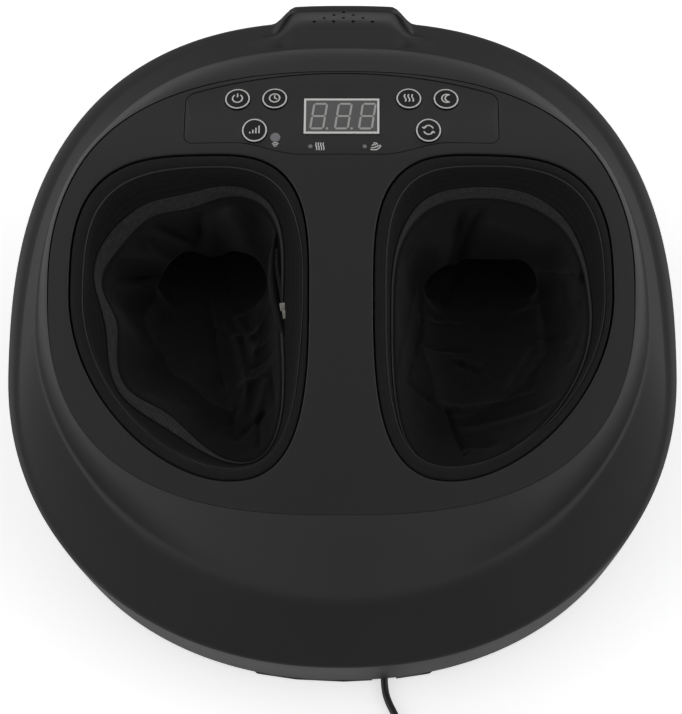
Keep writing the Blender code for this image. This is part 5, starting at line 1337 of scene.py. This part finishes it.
def roll_edges(piece, width, segments, degrees):
    """Rounds the edges of a piece that turn by more than an angle."""
    edge = piece.modifiers.new("edge", "BEVEL")
    edge.width = width
    edge.segments = segments
    edge.limit_method = "ANGLE"
    edge.angle_limit = radians(degrees)
    apply_all(piece)
    smooth(piece, degrees)


def rounded_boxes(name, spots, size, bevel):
    """Small boxes with rounded edges, one at each place and turned along its heading."""
    boxes = []
    for place, heading in spots:
        bpy.ops.mesh.primitive_cube_add(size=1.0, location=place, scale=size,
                                        rotation=heading.to_track_quat("Y", "Z").to_euler())
        boxes.append(bpy.context.object)
    bpy.ops.object.select_all(action="DESELECT")
    for box in boxes:
        box.select_set(True)
    bpy.ops.object.join()
    made = bpy.context.object
    made.name = name
    bpy.ops.object.transform_apply(location=True, rotation=True, scale=True)
    roll_edges(made, bevel, 2, 40.0)
    return made


def metal(name, colour, roughness, line_mm, depth_mm, along=(1.0, 1.0, 1.0)):
    """Worked metal: fine tool lines, which streak along the axis whose share is small."""
    made, tree, shader = start_material(name, Metallic=1.0)
    place = add_node(tree, "TexCoord").outputs["Object"]
    place = add_node(tree, "Mapping", {"Vector": place, "Scale": along}).outputs["Vector"]
    lines = speckle(tree, place, 1000 / line_mm, 3.0)
    blend(tree, shader, lines, linear(colour), linear(colour, METAL_SHADE))
    vary_gloss(tree, shader, lines, roughness, METAL_SWING)
    emboss(tree, shader, lines, depth_mm)
    return made


# Die-cast zinc under bright nickel: a small sharp glint. The teeth are black acetal.
bright_nickel = metal("nickel_plated_zinc", "#b8b5af", 0.26, 0.3, 0.004)
tooth_acetal = moulded("black_acetal_teeth", "#1e1e1e", 0.35, 0.3, 0.004, IOR=1.48)

spots = walked(below_rim(ZIP_ROUTE, ZIP_BELOW, ROUTE_STEPS["zip"]), TOOTH_PITCH)
chain = rounded_boxes("left_zip_chain", spots, TOOTH, TOOTH_BEVEL)
keep(chain, tooth_acetal, "housing", "liner_cloth")
upwards = Vector((0.0, 0.0, 1.0))
place, heading = spots[round(len(spots) * SLIDER_SHARE)]
slider_spot = (place + upwards * SLIDER_RISE, heading)
pull_spot = (place + heading * SLIDER[1] + upwards * PULL_RISE, heading)
slider = rounded_boxes("left_zip_slider", [slider_spot], SLIDER, SLIDER_BEVEL)
pull = rounded_boxes("left_zip_pull", [pull_spot], PULL, PULL_BEVEL)
keep(slider, bright_nickel, "housing", "zinc_steel")
keep(pull, bright_nickel, "housing", "zinc_steel")

rings = []
flap_spots = walked(below_rim(FLAP_ROUTE, FLAP_BELOW, ROUTE_STEPS["flap"]), FLAP_PITCH)
for index, (place, heading) in enumerate(flap_spots):
    share = index / (len(flap_spots) - 1)
    size = (1 - abs(2 * share - 1) ** 4) / 1000
    across = Vector((heading.y, -heading.x, 0.0)) * size
    rings.append([place + across * out + upwards * (up * size) for out, up in FLAP_SECTION])
flap = wrapped("left_zip_flap", rings)
outwards(flap)
map_cloth(flap, *FLAP_CLOTH)
smooth(flap, 180.0)
keep(flap, rib_cloth, "housing", "liner_cloth")

# Base: a black ABS tray closes the underside. It stands on four moulded rubber feet that are
# pressed into it, and six zinc-plated steel screws hold it to the shell's bosses.
tray_abs = moulded("eroded_black_abs", "#1b1a1a", 0.55, 0.7, 0.03, IOR=1.53)
foot_rubber = moulded("moulded_black_rubber", "#191919", 0.82, 0.4, 0.03, fleck=0.2, IOR=1.52)
dress(tray_abs, "base_tray")
dress(foot_rubber, *[f"{side}_{end}_foot" for side in SIDES for end in ("near", "far")])

# Zinc plating: a cool, slightly cloudy silver. Turned steel keeps rings round its axis, and the
# motor's drawn can has soft streaks along it.
zinc_plate = metal("zinc_plated_steel", "#cbcccb", 0.34, 0.5, 0.01)
turned_steel = metal("turned_steel", "#c2c0bc", 0.25, 0.25, 0.012, along=(1.0, 0.05, 0.05))
drawn_steel = metal("drawn_steel_can", "#b9bab8", 0.32, 0.8, 0.01, along=(0.05, 1.0, 1.0))
dress(zinc_plate, *[f"base_screw_{count}" for count in range(1, 7)])

# Drive: a worm on one shaft turns a wheel and the kneading disc under each foot. The wheels and
# discs are natural acetal, which looks waxy; the cases and the chambers are cheap grey ABS.
natural_acetal = moulded("natural_acetal", "#d8d5cb", 0.38, 0.4, 0.006, fleck=0.01,
                         Subsurface_Weight=0.1, Subsurface_Scale=0.002, IOR=1.48)
case_abs = moulded("unpainted_grey_abs", "#5c5c5b", 0.5, 0.8, 0.02, fleck=0.04, IOR=1.53)
chamber_abs = moulded("moulded_dark_abs", "#232323", 0.55, 0.8, 0.02, IOR=1.53)
dress(turned_steel, "worm_shaft")
dress(drawn_steel, "kneading_motor")
for side in SIDES:
    dress(natural_acetal, side + "_drive_wheel", side + "_kneading_disc")
    dress(case_abs, side + "_gear_case", side + "_gear_cover")
    dress(chamber_abs, side + "_chamber")

# Air: a small pump and a valve block in white ABS blow up a welded vinyl cell round each foot
# through a soft hose. Cells and hoses have rounded, rolled edges.
pump_abs = moulded("white_abs", "#cfcfca", 0.42, 0.6, 0.012, fleck=0.01, IOR=1.53)
cell_vinyl = moulded("calendered_grey_vinyl", "#4b4c50", 0.5, 1.2, 0.06, fleck=0.06, IOR=1.53)
hose_silicone = moulded("milky_silicone", "#b9bcbb", 0.35, 0.8, 0.01, fleck=0.02, IOR=1.43,
                        Transmission_Weight=0.25)
dress(pump_abs, "air_pump", "valve_block")
EDGE_ROLLS = {"air_cell": 0.0009, "air_hose": 0.0004}


def softened(name, roll, material, slot):
    """A merged copy of a soft CAD solid, its edges rolled, which stands for it."""
    source = nodes[name]
    made = add_object(name + "_soft", source.data.copy())
    made.matrix_world = source.matrix_world
    pick(made)
    bpy.ops.object.transform_apply(location=True, rotation=True, scale=True)
    edit_all((bpy.ops.mesh.remove_doubles, {"threshold": 1e-6}))
    roll_edges(made, roll, 3, 50.0)
    return keep(made, material, "housing", slot, name)


for side in SIDES:
    softened(side + "_air_cell", EDGE_ROLLS["air_cell"], cell_vinyl, "air_vinyl")
    softened(side + "_air_hose", EDGE_ROLLS["air_hose"], hose_silicone, "air_vinyl")

# Sole heaters: thin amber polyimide film with a printed carbon track, stuck under the sack.
# The track runs in strips 6 mm apart, which show brown through the film.
TRACK_PITCH_MM = 6.0
TRACK_RANGE = (0.45, 0.55)
made, tree, shader = start_material("polyimide_heater_film", Roughness=0.3, IOR=1.7)
place = add_node(tree, "TexCoord").outputs["Object"]
track = add_node(tree, "TexWave", {"Vector": place, "Scale": wave_scale(TRACK_PITCH_MM)})
blend(tree, shader, ramp(tree, track.outputs["Fac"], *TRACK_RANGE), linear("#a8611c"),
      linear("#2e1d12"))
dress(made, "left_sole_heater", "right_sole_heater")

# Boards: glass-fibre laminate under green solder mask, through which copper areas show lighter.
# The display's body behind the window is black phenolic.
COPPER_MM = 7.0
COPPER_RANGE = (0.30, 0.34)
made, tree, shader = start_material("solder_masked_laminate", Roughness=0.28, IOR=1.55)
place = add_node(tree, "TexCoord").outputs["Object"]
copper = add_node(tree, "TexVoronoi", {"Vector": place, "Scale": 1000 / COPPER_MM},
                  distance="CHEBYCHEV").outputs["Distance"]
blend(tree, shader, ramp(tree, copper, *COPPER_RANGE), linear("#2b7a4b"), linear("#185a34"))
dress(made, "main_board", "control_board")
phenolic = moulded("black_phenolic", "#141414", 0.4, 0.5, 0.01, IOR=1.6)
dress(phenolic, "display_module")

# Plug-in supply: a matt black ABS housing with two nickel-plated brass pins.
supply_abs = moulded("textured_black_abs", "#161616", 0.5, 0.6, 0.03, IOR=1.53)
nickel_brass = metal("nickel_plated_brass", "#cfcabc", 0.22, 0.4, 0.006)
dress(supply_abs, "power_adapter")
dress(nickel_brass, "adapter_pin_1", "adapter_pin_2")

# Floor and light: a plain pale floor that runs to the horizon, in soft white light. A round
# panel of shade hangs where the camera stands, and the brightest walls are left and right. The
# floor's own glow whitens it for the eye and, much less, in reflections.
FLOOR_SIZE = 40.0
FLOOR_GLOW = 0.58
GLOSSY_SHARE = 0.2
CEILING_LIGHT = 0.62
SHADE_LIGHT = 0.13
SHADE_TILT = radians(34.0)
SHADE_HALF = radians(54.0)
SIDE_LIGHT = 0.86
NEAR_LIGHT = -0.15
FAR_LIGHT = -0.32
# How far to its side a direction points where that side's light begins and where it is full.
SIDE_RANGE = (0.35, 1.0)
NEAR_RANGE = (-0.45, -0.98)
FAR_RANGE = (0.45, 0.95)

bpy.ops.mesh.primitive_plane_add(size=FLOOR_SIZE)
floor = bpy.context.object
floor.name = "studio_floor"
made, tree, shader = start_material("white_studio_floor", Roughness=0.9, Specular_IOR_Level=0.0,
                                    Base_Color=linear("#f2f2f2"),
                                    Emission_Color=(1.0, 1.0, 1.0, 1.0))
ray = add_node(tree, "LightPath")
seen = math_node(tree, "ADD", ray.outputs["Is Camera Ray"], ray.outputs["Is Transmission Ray"])
seen = math_node(tree, "MULTIPLY_ADD", ray.outputs["Is Glossy Ray"], GLOSSY_SHARE, seen)
glow = math_node(tree, "MULTIPLY", seen, FLOOR_GLOW)
tree.links.new(glow, shader.inputs["Emission Strength"])
floor.data.materials.append(made)

world = bpy.data.worlds.new("studio")
bpy.context.scene.world = world
world.use_nodes = True
tree = world.node_tree
heading = add_node(tree, "TexCoord").outputs["Generated"]
across, along, _ = add_node(tree, "SeparateXYZ", {"Vector": heading}).outputs
sideways = math_node(tree, "ABSOLUTE", across)
shade_way = (0.0, -sin(SHADE_TILT), cos(SHADE_TILT))
toward = add_node(tree, "VectorMath", {0: heading, 1: shade_way},
                  operation="DOT_PRODUCT").outputs["Value"]
light = CEILING_LIGHT
for value, bounds, amount in ((sideways, SIDE_RANGE, SIDE_LIGHT), (along, NEAR_RANGE, NEAR_LIGHT),
                              (along, FAR_RANGE, FAR_LIGHT),
                              (toward, (cos(SHADE_HALF), 1.0), SHADE_LIGHT - CEILING_LIGHT)):
    part = ramp(tree, value, *bounds, amount, interpolation_type="SMOOTHSTEP")
    light = math_node(tree, "ADD", part, light)
tree.links.new(light, tree.nodes["Background"].inputs["Strength"])
tree.nodes["Background"].inputs["Color"].default_value = (1.0, 1.0, 1.0, 1.0)
bpy.context.scene.view_settings.view_transform = "Standard"
